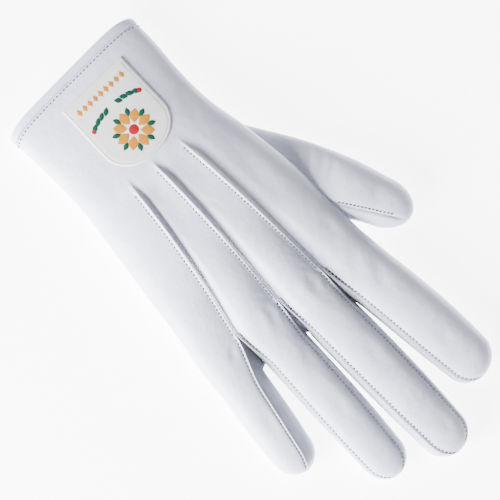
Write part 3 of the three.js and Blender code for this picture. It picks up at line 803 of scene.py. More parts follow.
def thumb_section(distance):
    """Half the width, the height, and the share that the round tip leaves."""
    along = clamp(distance / (THUMB_LENGTH - THUMB_TIP))
    tip = tip_share(distance, THUMB_LENGTH, THUMB_TIP)
    half = THUMB_WIDTH / 2 * read(THUMB_SECTIONS, "wide", along) * tip
    height = THUMB_HEIGHT * read(THUMB_SECTIONS, "tall", along)
    return half, height, tip


def thumb_point(distance, angle):
    half, height, tip = thumb_section(distance)
    right, up = math.cos(angle), -math.sin(angle)
    fullness = FINGER_ROUND if up > 0 else REST_ROUND
    side = power(right, 2 / fullness) * half
    rise = power(up, 2 / fullness) * tip**TIP_ROUND
    point = thumb_root + thumb_along * distance + thumb_across * side
    point[2] = section_height(height, rise)
    if up > 0:
        away = line_distance(point[0], point[1], THUMB_SEAM)
        point[2] -= fold_depth(THUMB_FOLDS, point[0], point[1])
        point[2] -= THUMB_SEAM_GROOVE * bell(away / THUMB_SEAM_WIDTH)
    return point


def thumb_height(x, y):
    """The height of the thumb's upper side over a place."""
    from_root = np.array([x, y, 0.0]) - thumb_root
    side = float(from_root @ thumb_across)
    half, height, tip = thumb_section(float(from_root @ thumb_along))
    return section_height(height, arch(side / half, FINGER_ROUND), tip**TIP_ROUND)


# %% The thumb's sleeve, closed for cutting
distances = [0.0] + row_distances(THUMB_LENGTH, THUMB_TIP)
angles = [2 * math.pi * i / THUMB_COLUMNS for i in range(THUMB_COLUMNS)]
thumb_points = [thumb_point(distance, angle) for distance in distances for angle in angles]
ring_starts = [row * THUMB_COLUMNS for row in range(len(distances))]
thumb_cells = []
for low, high in zip(ring_starts, ring_starts[1:]):
    thumb_cells += cells_between(low, high, THUMB_COLUMNS)
thumb_cells += fan(range(ring_starts[-1], len(thumb_points)), len(thumb_points))
thumb_points.append(thumb_root + thumb_along * THUMB_LENGTH)
thumb_points[-1][2] = THUMB_HEIGHT * THUMB_SECTIONS[-1]["tall"] * REST_LEVEL
thumb_points = np.array(thumb_points)
thumb_normals = skin_normals(thumb_points, thumb_cells)


def capped(name, points, cells, ring):
    """A mesh that is closed over a ring of its points, as cutting needs it."""
    closed = np.vstack([points, points[ring].mean(axis=0)])
    return mesh_piece(name, closed, cells + fan(ring, len(points), turned=True))


def closed_thumb(name, grown, back):
    """The thumb grown by an amount and closed at its mouth, which is moved back by a length."""
    mouth = list(range(THUMB_COLUMNS))
    points = thumb_points + thumb_normals * grown
    points[mouth] -= thumb_along * back
    return capped(name, points, thumb_cells, mouth)


def select_only(piece):
    bpy.ops.object.select_all(action="DESELECT")
    bpy.context.view_layer.objects.active = piece
    piece.select_set(True)


def cut(piece, tool):
    """Takes the tool's volume from a piece, and applies the modifier."""
    modifier = piece.modifiers.new("cut", "BOOLEAN")
    modifier.operation = "DIFFERENCE"
    modifier.solver = "MANIFOLD"
    modifier.object = tool
    select_only(piece)
    bpy.ops.object.modifier_apply(modifier=modifier.name)


thumb_hole = closed_thumb("thumb_hole", THUMB_ROOM, GAP)
thumb_hollow = closed_thumb("thumb_hollow", -WALL, 2 * WALL)
cavity = capped("cavity", all_points - all_normals * WALL, all_cells, hand_rows[0])
thumb = closed_thumb("thumb_leather", 0.0, 0.0)
cut(hand, thumb_hole)
cut(thumb, thumb_hollow)
cut(thumb, cavity)
for tool in (thumb_hole, thumb_hollow, cavity):
    bpy.data.meshes.remove(tool.data)
print("hand after the cut:", len(hand.data.polygons), "faces; thumb:", len(thumb.data.polygons))

# %% [markdown]
# ## The cuff hem
# The cuff's edge is turned in and stitched down, which makes a slightly thicker band. Its section
# is a flat loop with round ends, carried round the cuff.

# %% The hem
HEM_WALL = 2.0
HEM_PROUD = 0.35
HEM_STEPS = 14
HEM_ENDS = 0.55  # how square the ends of its section are
HEM_SIDES = 0.7  # and its sides


def hem_section(step):
    """A place on the hem's section: a share from the cuff's edge, and a height over its middle."""
    angle = 2 * math.pi * step / HEM_STEPS
    along = (1 - power(math.cos(angle), HEM_ENDS)) / 2
    return along, power(math.sin(angle), HEM_SIDES)


hem_points = []
edge_row = np.array([hand_point(place, 0.0) for place in hand_loop])
inner_row = all_points[hand_rows[0]]
hem_normals = all_normals[hand_rows[0]].copy()
hem_normals[:, 1] = 0.0
hem_normals /= np.linalg.norm(hem_normals, axis=1, keepdims=True)
for step in range(HEM_STEPS):
    share, rise = hem_section(step)
    share = mix(0.0, 1 - GAP * 0.5 / HEM_WIDTH, share)
    depth = mix(HEM_WALL, -HEM_PROUD, (rise + 1) / 2)
    row = mix(edge_row, inner_row, share) - hem_normals * depth
    row[:, 2] = np.maximum(row[:, 2], 0.0)
    hem_points.append(row)
hem_starts = [step * len(hand_loop) for step in range(HEM_STEPS)]
hem_cells = []
for low, high in zip(hem_starts, hem_starts[1:] + hem_starts[:1]):
    hem_cells += cells_between(high, low, len(hand_loop))
hem = mesh_piece("hem_leather", np.vstack(hem_points), hem_cells)
print("hem:", len(hem.data.polygons), "faces")

# %% [markdown]
# ## The patch
# The patch is a shield of woven cloth, straight towards the cuff and round towards the fingers. It
# follows the back of the hand, so its height comes from the same sections, and its edge is pressed
# down by the row of stitches just inside it.

# %% The patch's sizes and its outline
PATCH_WIDTH = 37.5
PATCH_LENGTH = 43.6
PATCH_START = 12.7  # from the cuff's edge
PATCH_OFFSET = -3.2
PATCH_TURN = 2.9  # degrees
PATCH_FACE = 0.8  # how high its face lies over the leather
PATCH_STRAIGHT = 0.66  # of its length
PATCH_ROUND = 0.85
PATCH_EDGE = 0.9  # how wide the edge's rounding is
PATCH_DROP = 0.4  # how far its edge is pressed down
PATCH_UNDER = 0.1
PATCH_STITCH = 1.3  # from the edge to the stitches
PATCH_GROOVE = 0.22
PATCH_GROOVE_WIDTH = 0.45
PATCH_COLUMNS = 64
PATCH_ROWS = 48
PATCH_ROUND_ROWS = 28
OUTLINE_STEPS = 32


def back_height(x, y):
    """The height of the hand's back over a place."""
    along, across, finger, share = y / HAND_LENGTH, 0.0, 0, 0.0
    for _ in range(4):
        across = (x - hand_middle(along)) * 2 / hand_width(along)
        places = [line_across(number, along) for number in range(len(LINES))]
        finger = max([0] + [i for i in range(len(FINGERS)) if across >= places[i]])
        share = clamp((across - places[finger]) / (places[finger + 1] - places[finger]))
        ahead = mix(LINES[finger]["ahead"], LINES[finger + 1]["ahead"], share)
        along = y / (HAND_LENGTH * (1 + ahead))
    arched = section_height(hand_height(along), arch(across, BACK_ROUND))
    return arched + relief(finger, share, across, along) - fold_depth(BACK_FOLDS, x, y)


def patch_half(forward):
    into = clamp((forward / PATCH_LENGTH - PATCH_STRAIGHT) / (1 - PATCH_STRAIGHT))
    return PATCH_WIDTH / 2 * (1 - into**2) ** (PATCH_ROUND / 2)


def on_patch(side, forward, lift=0.0):
    """A point on the patch from a place in its own plane, and a height over the cloth."""
    turn = math.radians(PATCH_TURN)
    x = PATCH_OFFSET + side * math.cos(turn) + forward * math.sin(turn)
    y = PATCH_START - side * math.sin(turn) + forward * math.cos(turn)
    return [x, y, back_height(x, y) + PATCH_FACE + lift]


def round_forwards(steps):
    """Places forward along the round part of the patch, closer together towards its end."""
    turns = [math.sin(math.pi / 2 * i / steps) for i in range(steps + 1)]
    return [PATCH_LENGTH * mix(PATCH_STRAIGHT, 1.0, turn) for turn in turns]


right_edge = [(PATCH_WIDTH / 2, 0.0)]
right_edge += [(patch_half(forward), forward) for forward in round_forwards(OUTLINE_STEPS)]
left_edge = [(-side, forward) for side, forward in reversed(right_edge[:-1])]
patch_outline = right_edge + left_edge + right_edge[:1]


def patch_lift(side, forward):
    """The cloth's profile towards its edge: rounded down, with the groove of the stitches."""
    away = line_distance(side, forward, patch_outline)
    edge = (1 - min(1.0, away / PATCH_EDGE)) ** 2
    return -PATCH_DROP * edge - PATCH_GROOVE * bell((away - PATCH_STITCH) / PATCH_GROOVE_WIDTH)


# %% The cloth of the patch
patch_forwards = [PATCH_STRAIGHT * PATCH_LENGTH * i / PATCH_ROWS for i in range(PATCH_ROWS)]
patch_forwards += round_forwards(PATCH_ROUND_ROWS)[:-1]
patch_points = []
for forward in patch_forwards:
    half = patch_half(forward)
    for i in range(PATCH_COLUMNS + 1):
        side = -half * math.cos(math.pi * i / PATCH_COLUMNS)
        patch_points.append(on_patch(side, forward, patch_lift(side, forward)))
patch_points.append(on_patch(0.0, PATCH_LENGTH, -PATCH_DROP))
width = PATCH_COLUMNS + 1
row_starts = [row * width for row in range(len(patch_forwards))]
patch_cells = []
for low, high in zip(row_starts, row_starts[1:]):
    patch_cells += cells_between(low, high, width, closed=False)
last_row = range(row_starts[-1], row_starts[-1] + width)
patch_cells += fan(last_row, len(patch_points) - 1)[:-1]
patch_top = np.array(patch_points)
patch_under = patch_top.copy()
for under in patch_under:
    under[2] = back_height(under[0], under[1]) + PATCH_UNDER
patch_edges = open_edges(patch_cells)
patch = mesh_piece(
    "patch_cloth",
    np.vstack([patch_top, patch_under]),
    sheet_faces(patch_cells, len(patch_top), patch_edges),
)

# %% [markdown]
# ## The ornament
# The patch carries a plain flower ornament in gold, green and red thread: a rosette, two sprigs and
# a row of lozenges. Each motif is one small outline that is repeated round a point or along a line,
# raised a little over the cloth, as satin stitches are.

# %% Outlines of the motifs, in millimetres
ROSETTE_PLACE = (0.0, 29.0)
ROSETTE_PETALS = 8
PETAL_LENGTH = 7.2
PETAL_WIDTH = 4.8
PETAL_FROM = 2.9  # from the rosette's middle
LEAF_LENGTH = 4.6
LEAF_WIDTH = 2.5
LEAF_FROM = 6.4
EYE_RADIUS = 2.5
LOZENGE_COUNT = 9
LOZENGE_PITCH = 3.3
LOZENGE_WIDTH = 2.7
LOZENGE_HEIGHT = 4.0
LOZENGE_ROW = 6.2  # from the straight edge
SPRIG_ROW = 12.6
SPRIG_LEAVES = 4
SPRIG_FROM = 2.2  # from the patch's middle line
SPRIG_PITCH = 3.0
SPRIG_BEND = 0.25
SPRIG_TURN = 48  # degrees
BERRY_RISE = 4.6
BERRY_RADIUS = 1.25
THREAD_LIFT = 0.16
THREAD_SINK = -0.12
# A motif's rings from its rim inward: how large each is, and its height over the cloth.
MOTIF_RINGS = ((1.0, THREAD_SINK), (0.96, THREAD_LIFT * 0.5), (0.7, THREAD_LIFT))
MOTIF_TOP = THREAD_LIFT * 1.1


def leaf_outline(length, width, points=12):
    """A pointed leaf along the second direction, from its foot at the origin."""
    half = [(width / 2 * math.sin(math.pi * i / points), length * i / points)
            for i in range(points + 1)]
    return half[:-1] + [(-x, y) for x, y in half[:0:-1]]


def disc_outline(radius, points=20):
    turns = [2 * math.pi * i / points for i in range(points)]
    return [(radius * math.cos(turn), radius * math.sin(turn)) for turn in turns]


def lozenge_outline(width, height):
    return [(width / 2, 0.0), (0.0, height / 2), (-width / 2, 0.0), (0.0, -height / 2)]


def placed(outline, place, turn=0.0, start=0.0):
    """An outline pushed forward by a length, turned and moved to its place."""
    sine, cosine = math.sin(turn), math.cos(turn)
    pushed = [(x, y + start) for x, y in outline]
    return [(place[0] + x * cosine - y * sine, place[1] + x * sine + y * cosine) for x, y in pushed]


motifs = {"gold": [], "green": [], "red": []}
petal = leaf_outline(PETAL_LENGTH, PETAL_WIDTH)
leaf = leaf_outline(LEAF_LENGTH, LEAF_WIDTH)
lozenge = lozenge_outline(LOZENGE_WIDTH, LOZENGE_HEIGHT)
for i in range(ROSETTE_PETALS):
    turn = 2 * math.pi * i / ROSETTE_PETALS
    between = turn + math.pi / ROSETTE_PETALS
    motifs["gold"].append(placed(petal, ROSETTE_PLACE, turn, PETAL_FROM))
    motifs["green"].append(placed(leaf, ROSETTE_PLACE, between, LEAF_FROM))
motifs["red"].append(placed(disc_outline(EYE_RADIUS), ROSETTE_PLACE))
for i in range(LOZENGE_COUNT):
    across = (i - (LOZENGE_COUNT - 1) / 2) * LOZENGE_PITCH
    motifs["gold"].append(placed(lozenge, (across, LOZENGE_ROW)))
for side in (-1, 1):
    for i in range(SPRIG_LEAVES):
        place = (side * (SPRIG_FROM + SPRIG_PITCH * i), SPRIG_ROW + SPRIG_BEND * i * i)
        motifs["green"].append(placed(leaf, place, -side * math.radians(SPRIG_TURN)))
    berry = (side * (SPRIG_FROM + SPRIG_PITCH * SPRIG_LEAVES), SPRIG_ROW + BERRY_RISE)
    motifs["red"].append(placed(disc_outline(BERRY_RADIUS, points=14), berry))


def motif_mesh(name, outlines):
    """Low raised shapes: a rim pressed into the cloth, a shoulder and a middle."""
    points, faces = [], []
    for outline in outlines:
        start, count = len(points), len(outline)
        centre = np.mean(outline, axis=0)
        for shrink, lift in MOTIF_RINGS:
            ring = [centre + (np.array(place) - centre) * shrink for place in outline]
            points += [on_patch(side, forward, lift) for side, forward in ring]
        points += [on_patch(*centre, MOTIF_TOP), on_patch(*centre, THREAD_SINK)]
        rings = [start + ring * count for ring in range(len(MOTIF_RINGS))]
        for low, high in zip(rings, rings[1:]):
            faces += cells_between(low, high, count)
        faces += fan(range(rings[-1], rings[-1] + count), len(points) - 2)
        faces += fan(range(start, start + count), len(points) - 1, turned=True)
    return mesh_piece(name, points, faces)


ornament = {colour: motif_mesh(f"ornament_{colour}", shapes) for colour, shapes in motifs.items()}
print("ornament:", {colour: len(shapes) for colour, shapes in motifs.items()})

# %% [markdown]
# ## The stitches
# A stitch is a short thread that dips into the leather at both ends. One small mesh is repeated
# along every seam at an even pitch: beside the fingers' seams, beside the ribs, round the hem,
# along the thumb and round the patch.

# %% Lines of stitches on the leather
STITCH_PITCH = 1.95
STITCH_LENGTH = 1.25
STITCH_RADIUS = 0.33
STITCH_SIDES = 6
STITCH_RISE = 0.12
STITCH_SINK = 0.12
STITCH_END_SINK = 2.2  # of STITCH_SINK, at both ends
RIB_STITCH = 1.75  # from the rib, away from the thumb
RIB_STITCH_FROM = 0.4  # of RIB_RISE
HEM_STITCH = 0.75  # past the hem, as a share of a row
HEM_PITCH = 2.2
THUMB_STITCH = 0.85  # from the thumb's seam
THUMB_STITCH_TURN = math.radians(30)  # the way it lies from the seam
THUMB_STEPS = 6  # on each length of the seam
THUMB_PITCH = 1.8
BORDER_STITCH = {"pitch": 1.3, "length": 0.9, "radius": 0.14}
PAINTED_LIGHT_TURN = 1.6  # how much lighter the thread is painted on slopes that face the thumb, away from the key light: painted light
# The share of painted light that the ribs' thread starts from.
RIB_PAINTED_LIGHT = 0.7
STITCH_RINGS = ((-0.8, 0.75), (0.0, 1.0), (0.8, 0.75))  # place along, and share of the radius


def inset_point(corners, inset):
    """The point and normal at a distance, seen from above, from the first corner of a row."""
    travelled = 0.0
    for a, b in zip(corners, corners[1:]):
        step = float(np.linalg.norm((all_points[b] - all_points[a])[:2]))
        if travelled + step >= inset:
            share = (inset - travelled) / step
            normal = mix(all_normals[a], all_normals[b], share)
            return mix(all_points[a], all_points[b], share), normal / np.linalg.norm(normal)
        travelled += step
    return None


def seam_paths():
    """Points beside each seam of the fingers, from the fork to the tip."""
    paths = []
    for index, rows in enumerate(finger_rows):
        for number, reverse in ((index, False), (index + 1, True)):
            if number not in fork_curves:
                continue
            path = []
            for corners in rows[1:-2]:
                back = corners[: BACK_COLUMNS + 1]
                found = inset_point(back[::-1] if reverse else back, SEAM_INSET)
                if found:
                    path.append(found)
            paths.append(path)
    return paths


def rib_paths():
    paths = []
    for number in fork_curves:
        start = hand_index[Place("back", number - 1, 1.0, 0)]
        path = []
        for corners in hand_rows:
            on_rib = all_points[corners[start]]
            if on_rib[1] > RIB_FROM + RIB_RISE * RIB_STITCH_FROM:
                path.append(inset_point(corners[start : start + BACK_COLUMNS], RIB_STITCH))
        paths.append(path)
    return paths


def hem_path():
    first, second = hand_rows[0], hand_rows[1]
    pairs = zip(first, second)
    path = [(mix(all_points[a], all_points[b], HEM_STITCH), all_normals[a]) for a, b in pairs]
    return path + path[:1]


def thumb_path():
    path = []
    across, forward = math.cos(THUMB_STITCH_TURN), math.sin(THUMB_STITCH_TURN)
    for (x0, y0), (x1, y1) in zip(THUMB_SEAM[1:], THUMB_SEAM[2:]):
        for step in range(THUMB_STEPS):
            x = mix(x0, x1, step / THUMB_STEPS) - THUMB_STITCH * across
            y = mix(y0, y1, step / THUMB_STEPS) - THUMB_STITCH * forward
            path.append((np.array([x, y, thumb_height(x, y)]), UPWARD))
    return path


def border_path():
    """The patch's outline, shrunk towards its middle."""
    shrink = 1 - PATCH_STITCH / (PATCH_WIDTH / 2)
    middle = PATCH_LENGTH / 2
    path = []
    for side, forward in patch_outline:
        place = side * shrink, (forward - middle) * shrink + middle
        path.append((np.array(on_patch(*place, -PATCH_GROOVE)), UPWARD))
    return path


# %% Stitches along the lines
LOOK_AHEAD = 0.25  # of the pitch, for the direction of a path


def even_steps(path, pitch):
    """Places at an even pitch along a path, each with its direction and its normal."""
    points = np.array([point for point, _ in path])
    normals = np.array([normal for _, normal in path])
    steps = np.linalg.norm(np.diff(points, axis=0), axis=1)
    travelled = np.concatenate([[0.0], np.cumsum(steps)])

    def at_length(rows, at):
        return np.array([np.interp(at, travelled, column) for column in rows.T])

    for i in range(int(travelled[-1] / pitch)):
        at = (i + 0.5) * pitch
        here = at_length(points, at)
        ahead = at_length(points, at + pitch * LOOK_AHEAD)
        normal = at_length(normals, at)
        direction = (ahead - here) / max(1e-9, float(np.linalg.norm(ahead - here)))
        yield here, direction, normal / np.linalg.norm(normal)


def stitch_mesh(
    name, paths, pitch=STITCH_PITCH, length=STITCH_LENGTH, radius=STITCH_RADIUS, painted_light=0.0
):
    """All the stitches of some paths, with an attribute that paints the thread lighter on shaded
    slopes.
    """
    turns = [2 * math.pi * k / STITCH_SIDES for k in range(STITCH_SIDES)]
    points, faces, tones = [], [], []
    steps = [step for path in paths for step in even_steps(path, pitch)]
    for here, direction, normal in steps:
        if here[2] < 2 * radius:  # pressed flat under the palm
            continue
        across = np.cross(direction, normal)
        start = len(points)
        for along, size in STITCH_RINGS:
            middle = here + direction * along * length / 2
            middle = middle + normal * (STITCH_RISE - STITCH_SINK * along * along)
            for turn in turns:
                spoke = across * math.cos(turn) + normal * math.sin(turn)
                points.append(middle + spoke * radius * size)
        for sign in (-1, 1):
            end = here + direction * sign * length / 2
            points.append(end - normal * STITCH_SINK * STITCH_END_SINK)
        rings = [start + ring * STITCH_SIDES for ring in range(len(STITCH_RINGS))]
        for low, high in zip(rings, rings[1:]):
            faces += cells_between(high, low, STITCH_SIDES)
        faces += fan(range(start, rings[1]), len(points) - 2)
        faces += fan(range(rings[-1], rings[-1] + STITCH_SIDES), len(points) - 1, turned=True)
        # Painted light: a lighter thread on slopes that face the thumb, which lie in shade.
        tones += [clamp(painted_light - PAINTED_LIGHT_TURN * normal[0])] * (len(points) - start)
    piece = mesh_piece(name, points, faces)
    piece.data.attributes.new("painted_light", "FLOAT", "POINT").data.foreach_set("value", tones)
    return piece


seam_stitches = stitch_mesh("seam_stitches", seam_paths())
rib_stitches = stitch_mesh("rib_stitches", rib_paths(), painted_light=RIB_PAINTED_LIGHT)
hem_stitches = stitch_mesh("hem_stitches", [hem_path()], HEM_PITCH)
thumb_stitches = stitch_mesh("thumb_stitches", [thumb_path()], THUMB_PITCH)
patch_stitches = stitch_mesh("patch_stitches", [border_path()], **BORDER_STITCH)
stitches = [seam_stitches, rib_stitches, hem_stitches, thumb_stitches, patch_stitches]
print("stitch faces:", {piece.name: len(piece.data.polygons) for piece in stitches})

# %% [markdown]
# ## Materials
# Shader maths is written as sums of sockets: a small class wraps a socket and turns +, -, * and the
# like into Math nodes. Every other node comes from one method, which sets its settings first and
# then its inputs, as values or as links.

# %% A small language for shader nodes
def arithmetic(operation, turned=False):
    """A method of Wire that makes a Math node, with the other side first if turned."""

    def method(self, other):
        a, b = (other, self) if turned else (self, other)
        return self.paint.node("ShaderNodeMath", {"operation": operation}, {0: a, 1: b})[0]

    return method


class Wire:
    """A socket of a material's tree that can be added, scaled and blended."""

    __add__, __radd__ = arithmetic("ADD"), arithmetic("ADD", turned=True)
    __sub__, __rsub__ = arithmetic("SUBTRACT"), arithmetic("SUBTRACT", turned=True)
    __mul__, __rmul__ = arithmetic("MULTIPLY"), arithmetic("MULTIPLY", turned=True)

    def __init__(self, paint, socket):
        self.paint = paint
        self.socket = socket

    def smooth(self, low, high):
        """From 0 below low to 1 over high, on a smooth curve."""
        settings = {"interpolation_type": "SMOOTHSTEP"}
        values = {"Value": self, "From Min": low, "From Max": high}
        return self.paint.node("ShaderNodeMapRange", settings, values)[0]


class Paint:
    """A material and its tree. node() makes any node and gives its outputs by place or name."""

    def __init__(self, name):
        self.material = bpy.data.materials.new(name)
        self.material.use_nodes = True
        self.tree = self.material.node_tree
        self.shader = self.tree.nodes["Principled BSDF"]

    def node(self, kind, settings=None, values=None):
        made = self.tree.nodes.new(kind)
        for key, value in (settings or {}).items():
            setattr(made, key, value)
        for key, value in (values or {}).items():
            self.put(made.inputs[key], value)
        return {
            **{i: Wire(self, socket) for i, socket in enumerate(made.outputs)},
            **{socket.name: Wire(self, socket) for socket in made.outputs if socket.enabled},
        }

    def put(self, socket, value):
        if isinstance(value, Wire):
            self.tree.links.new(value.socket, socket)
        else:
            socket.default_value = value

    def set(self, **values):
        for key, value in values.items():
            name = key.replace("_", " ").title().replace("Ior", "IOR")
            self.put(self.shader.inputs[name], value)

    def place(self):
        return self.node("ShaderNodeTexCoord")["Object"]

    def noise(self, place, size, detail=2.0, roughness=0.5):
        """Soft noise from 0 to 1, whose lumps have about the given size in millimetres."""
        values = {"Vector": place, "Scale": 1 / (size * MM)}
        values |= {"Detail": detail, "Roughness": roughness}
        return self.node("ShaderNodeTexNoise", None, values)["Fac"]

    def cells(self, place, size):
        """The distance to the nearest of scattered points, which are about a size apart."""
        values = {"Vector": place, "Scale": 1 / (size * MM)}
        return self.node("ShaderNodeTexVoronoi", None, values)["Distance"]

    def waves(self, place, direction, pitch, distortion, detail):
        """Even waves from 0 to 1, a little distorted, at a pitch in millimetres."""
        settings = {"wave_type": "BANDS", "bands_direction": direction, "wave_profile": "SIN"}
        values = {"Vector": place, "Scale": 0.5 / (pitch * MM)}
        values |= {"Distortion": distortion, "Detail": detail}
        return self.node("ShaderNodeTexWave", settings, values)["Fac"]

    def blend(self, share, first, second):
        """A colour between two colours."""
        made = self.tree.nodes.new("ShaderNodeMix")
        made.data_type = "RGBA"
        sockets = [socket for socket in made.inputs if socket.enabled]
        for socket, value in zip(sockets, (share, first, second)):
            self.put(socket, value)
        return Wire(self, next(socket for socket in made.outputs if socket.enabled))

    def attribute(self, name):
        return self.node("ShaderNodeAttribute", {"attribute_name": name})["Fac"]

    def bump(self, height, depth, strength=1.0, normal=None):
        """A normal from a height of 0 to 1 that stands for a depth in millimetres."""
        values = {"Height": height, "Distance": depth * MM, "Strength": strength}
        if normal is not None:
            values["Normal"] = normal
        return self.node("ShaderNodeBump", None, values)["Normal"]


# %% [markdown]
# ## White glove leather
# Thin sheepskin is smooth and slightly satin. It has a fine pebbled grain, faint creases where it
# was worked soft, and a cool white that is a little mottled and greys in the seams. Its gloss is
# uneven, because handling rubs the grain flat in some places and not in others.

# %% The colours and the leather
LEATHER_COLOUR = (0.73, 0.74, 0.88, 1.0)
LEATHER_SHADE = (0.66, 0.67, 0.82, 1.0)
SEAM_COLOUR = (0.42, 0.42, 0.5, 1.0)
# The fourchettes' leather is greyer than the back's, partly as a duller leather and partly as
# painted shade of the slots between the fingers. Its dark colour, near black, is painted shade of
# the forks, the low slots and the seams' edges.
WEB_PAINTED_SHADE = (0.09, 0.09, 0.11, 1.0)
WEB_COLOUR = (0.66, 0.67, 0.79, 1.0)
WEB_SHADE = (0.59, 0.6, 0.72, 1.0)
CLOTH_COLOUR = (0.86, 0.85, 0.83, 1.0)
CLOTH_SHADE = (0.79, 0.78, 0.765, 1.0)
GRAIN_SIZE = 0.55
PORE_SIZE = 0.45  # of GRAIN_SIZE
GRAIN = {"depth": 0.05, "strength": 0.35}
CREASE_SIZE = 5.0
CREASES = {"depth": 0.42, "strength": 0.8}
MOTTLE_SIZE = 18.0
RUB_SIZE = 7.0


def leather(name, colour, shade, dirt_and_shade_colour, dirt_and_painted_shade, roughness, sheen):
    paint = Paint(name)
    place = paint.place()
    mottle = paint.noise(place, MOTTLE_SIZE, 3.0)
    seam = paint.attribute("seam")
    tone = paint.blend(mottle.smooth(0.35, 0.7), shade, colour)
    # Towards the dark colour by the seam attribute: dirt along the seams of the back and thumb, and
    # painted shade on the fourchettes.
    stained_and_shaded = paint.blend(seam * dirt_and_painted_shade, tone, dirt_and_shade_colour)
    grain = paint.cells(place, GRAIN_SIZE)
    pores = paint.cells(place, GRAIN_SIZE * PORE_SIZE)
    creases = paint.noise(place, CREASE_SIZE, 4.0, 0.55)
    drape = paint.bump(creases, **CREASES)
    pebbles = paint.bump(grain * 0.7 + pores * 0.3, **GRAIN, normal=drape)
    rubbed = paint.noise(place, RUB_SIZE, 2.0).smooth(0.4, 0.75)
    paint.set(
        base_color=stained_and_shaded,
        roughness=roughness + 0.1 * rubbed + 0.12 * seam,
        specular_ior_level=0.42,
        sheen_weight=sheen,
        sheen_roughness=0.45,
        normal=pebbles,
    )
    return paint.material


white_leather = leather(
    "white_leather", LEATHER_COLOUR, LEATHER_SHADE, SEAM_COLOUR,
    dirt_and_painted_shade=0.6, roughness=0.4, sheen=0.1,
)
# The fourchettes' darkening by the seam attribute is painted shade.
fourchette_leather = leather(
    "fourchette_leather", WEB_COLOUR, WEB_SHADE, WEB_PAINTED_SHADE,
    dirt_and_painted_shade=0.85, roughness=0.5, sheen=0.05,
)


# %% Cloth and threads
WEAVE_PITCH = 0.32
WEAVE = {"depth": 0.09, "strength": 0.6}
CLOTH_SOIL_SIZE = 9.0
STRAND_PITCH = 0.35  # of the ornament's thread
THREAD_PITCH = 0.3  # of the stitches' thread
STRANDS = {"depth": 0.07, "strength": 0.6}
UNEVEN_SIZE = 1.6


def cloth(name, colour, shade):
    paint = Paint(name)
    place = paint.place()
    warp, weft = [paint.waves(place, direction, WEAVE_PITCH, 0.6, 1.0) for direction in "XY"]
    weave = warp * weft
    darkening = paint.noise(place, CLOTH_SOIL_SIZE, 3.0)
    tone = paint.blend(darkening.smooth(0.3, 0.75), shade, colour)
    paint.set(
        base_color=paint.blend(weave * 0.25, tone, colour),
        roughness=0.72 + 0.15 * weave,
        sheen_weight=0.25,
        sheen_roughness=0.5,
        specular_ior_level=0.3,
        normal=paint.bump(weave, **WEAVE),
    )
    return paint.material


def thread(name, colour, dark, pitch, painted_light_colour=None):
    """Satin-stitched thread: fine parallel strands with a soft gloss."""
    paint = Paint(name)
    place = paint.place()
    strands = paint.waves(place, "DIAGONAL", pitch, 1.2, 2.0)
    uneven = paint.noise(place, UNEVEN_SIZE, 2.0)
    share = (0.65 * strands + 0.5 * uneven).smooth(0.1, 0.9)
    base = paint.blend(share, dark, colour)
    # Painted light: the thread turns to a lighter colour where its attribute says, on shaded
    # slopes.
    if painted_light_colour:
        base = paint.blend(paint.attribute("painted_light"), base, painted_light_colour)
    paint.set(
        base_color=base,
        roughness=0.6 + 0.2 * uneven,
        specular_ior_level=0.2,
        sheen_weight=0.03,
        normal=paint.bump(strands, **STRANDS),
    )
    return paint.material


patch_cloth = cloth("patch_cloth", CLOTH_COLOUR, CLOTH_SHADE)
# The lit and the dark colour of each thread.
THREADS = {
    "gold": ((0.62, 0.25, 0.006, 1.0), (0.36, 0.12, 0.002, 1.0)),
    "green": ((0.0, 0.07, 0.045, 1.0), (0.0, 0.03, 0.02, 1.0)),
    "red": ((0.42, 0.003, 0.008, 1.0), (0.2, 0.0, 0.004, 1.0)),
    "seam": ((0.05, 0.05, 0.063, 1.0), (0.028, 0.028, 0.036, 1.0)),
    "pale": ((0.8, 0.8, 0.82, 1.0), (0.6, 0.6, 0.62, 1.0)),
}
# A lighter seam thread, painted on shaded slopes: painted light.
THREAD_PAINTED_LIGHT = (0.24, 0.24, 0.28, 1.0)
thread_finishes = {
    colour: thread(f"{colour}_thread", *THREADS[colour], STRAND_PITCH) for colour in ornament
}
seam_thread = thread("seam_thread", *THREADS["seam"], THREAD_PITCH, THREAD_PAINTED_LIGHT)
pale_thread = thread("pale_thread", *THREADS["pale"], THREAD_PITCH)

# %% [markdown]
# ## Where the leather greys
# Seams and grooves gather a little dirt. The fourchettes are greyed as painted shade: towards their
# forks, low in the slots between the fingers, further along on walls that the next finger shades,
# and in a line under the edges of the fingers. Each leather piece carries a number for that at
# every point, 1 where it is greyest and 0 where it is not greyed, and the leather's colour and
# gloss read it.

# %% The seam attribute: dirt along the seams, painted shade on the fourchettes
SOIL_REACH = 1.1
THUMB_SOIL_REACH = 0.9
# The fourchettes' painted shade: near the fork, below a height in the slot, further from the fork
# on walls that face +X and lie in the next finger's shadow, and as a line under a seam's edge.
WEB_REACH = 11.0  # how far the grey of a fork goes up its fourchette
SLOT_LIGHT = 13.0  # the height over the floor below which a fourchette greys
FORK_FADE = 44.0  # how far from the fork it does so
LIT_FADE = {1: 52.0, 2: 52.0, 3: 0.0}  # and how much further on walls that face the next finger
FAR = 120.0
EDGE_REACH = 1.7  # the line of shade under a seam's edge
EDGE_PAINTED_SHADE = 0.4
DEEP_POWER = 0.8  # how fast a fourchette greys with depth
LIT_POWER = 0.45  # and how much faster where it is lit
# The spacing of the places that are taken as marks of dirt.
SOIL_STEP = 0.8
THUMB_SOIL_STEP = 0.5
EDGE_STEP = 0.6
BLOCK = 4096  # places that are measured at once


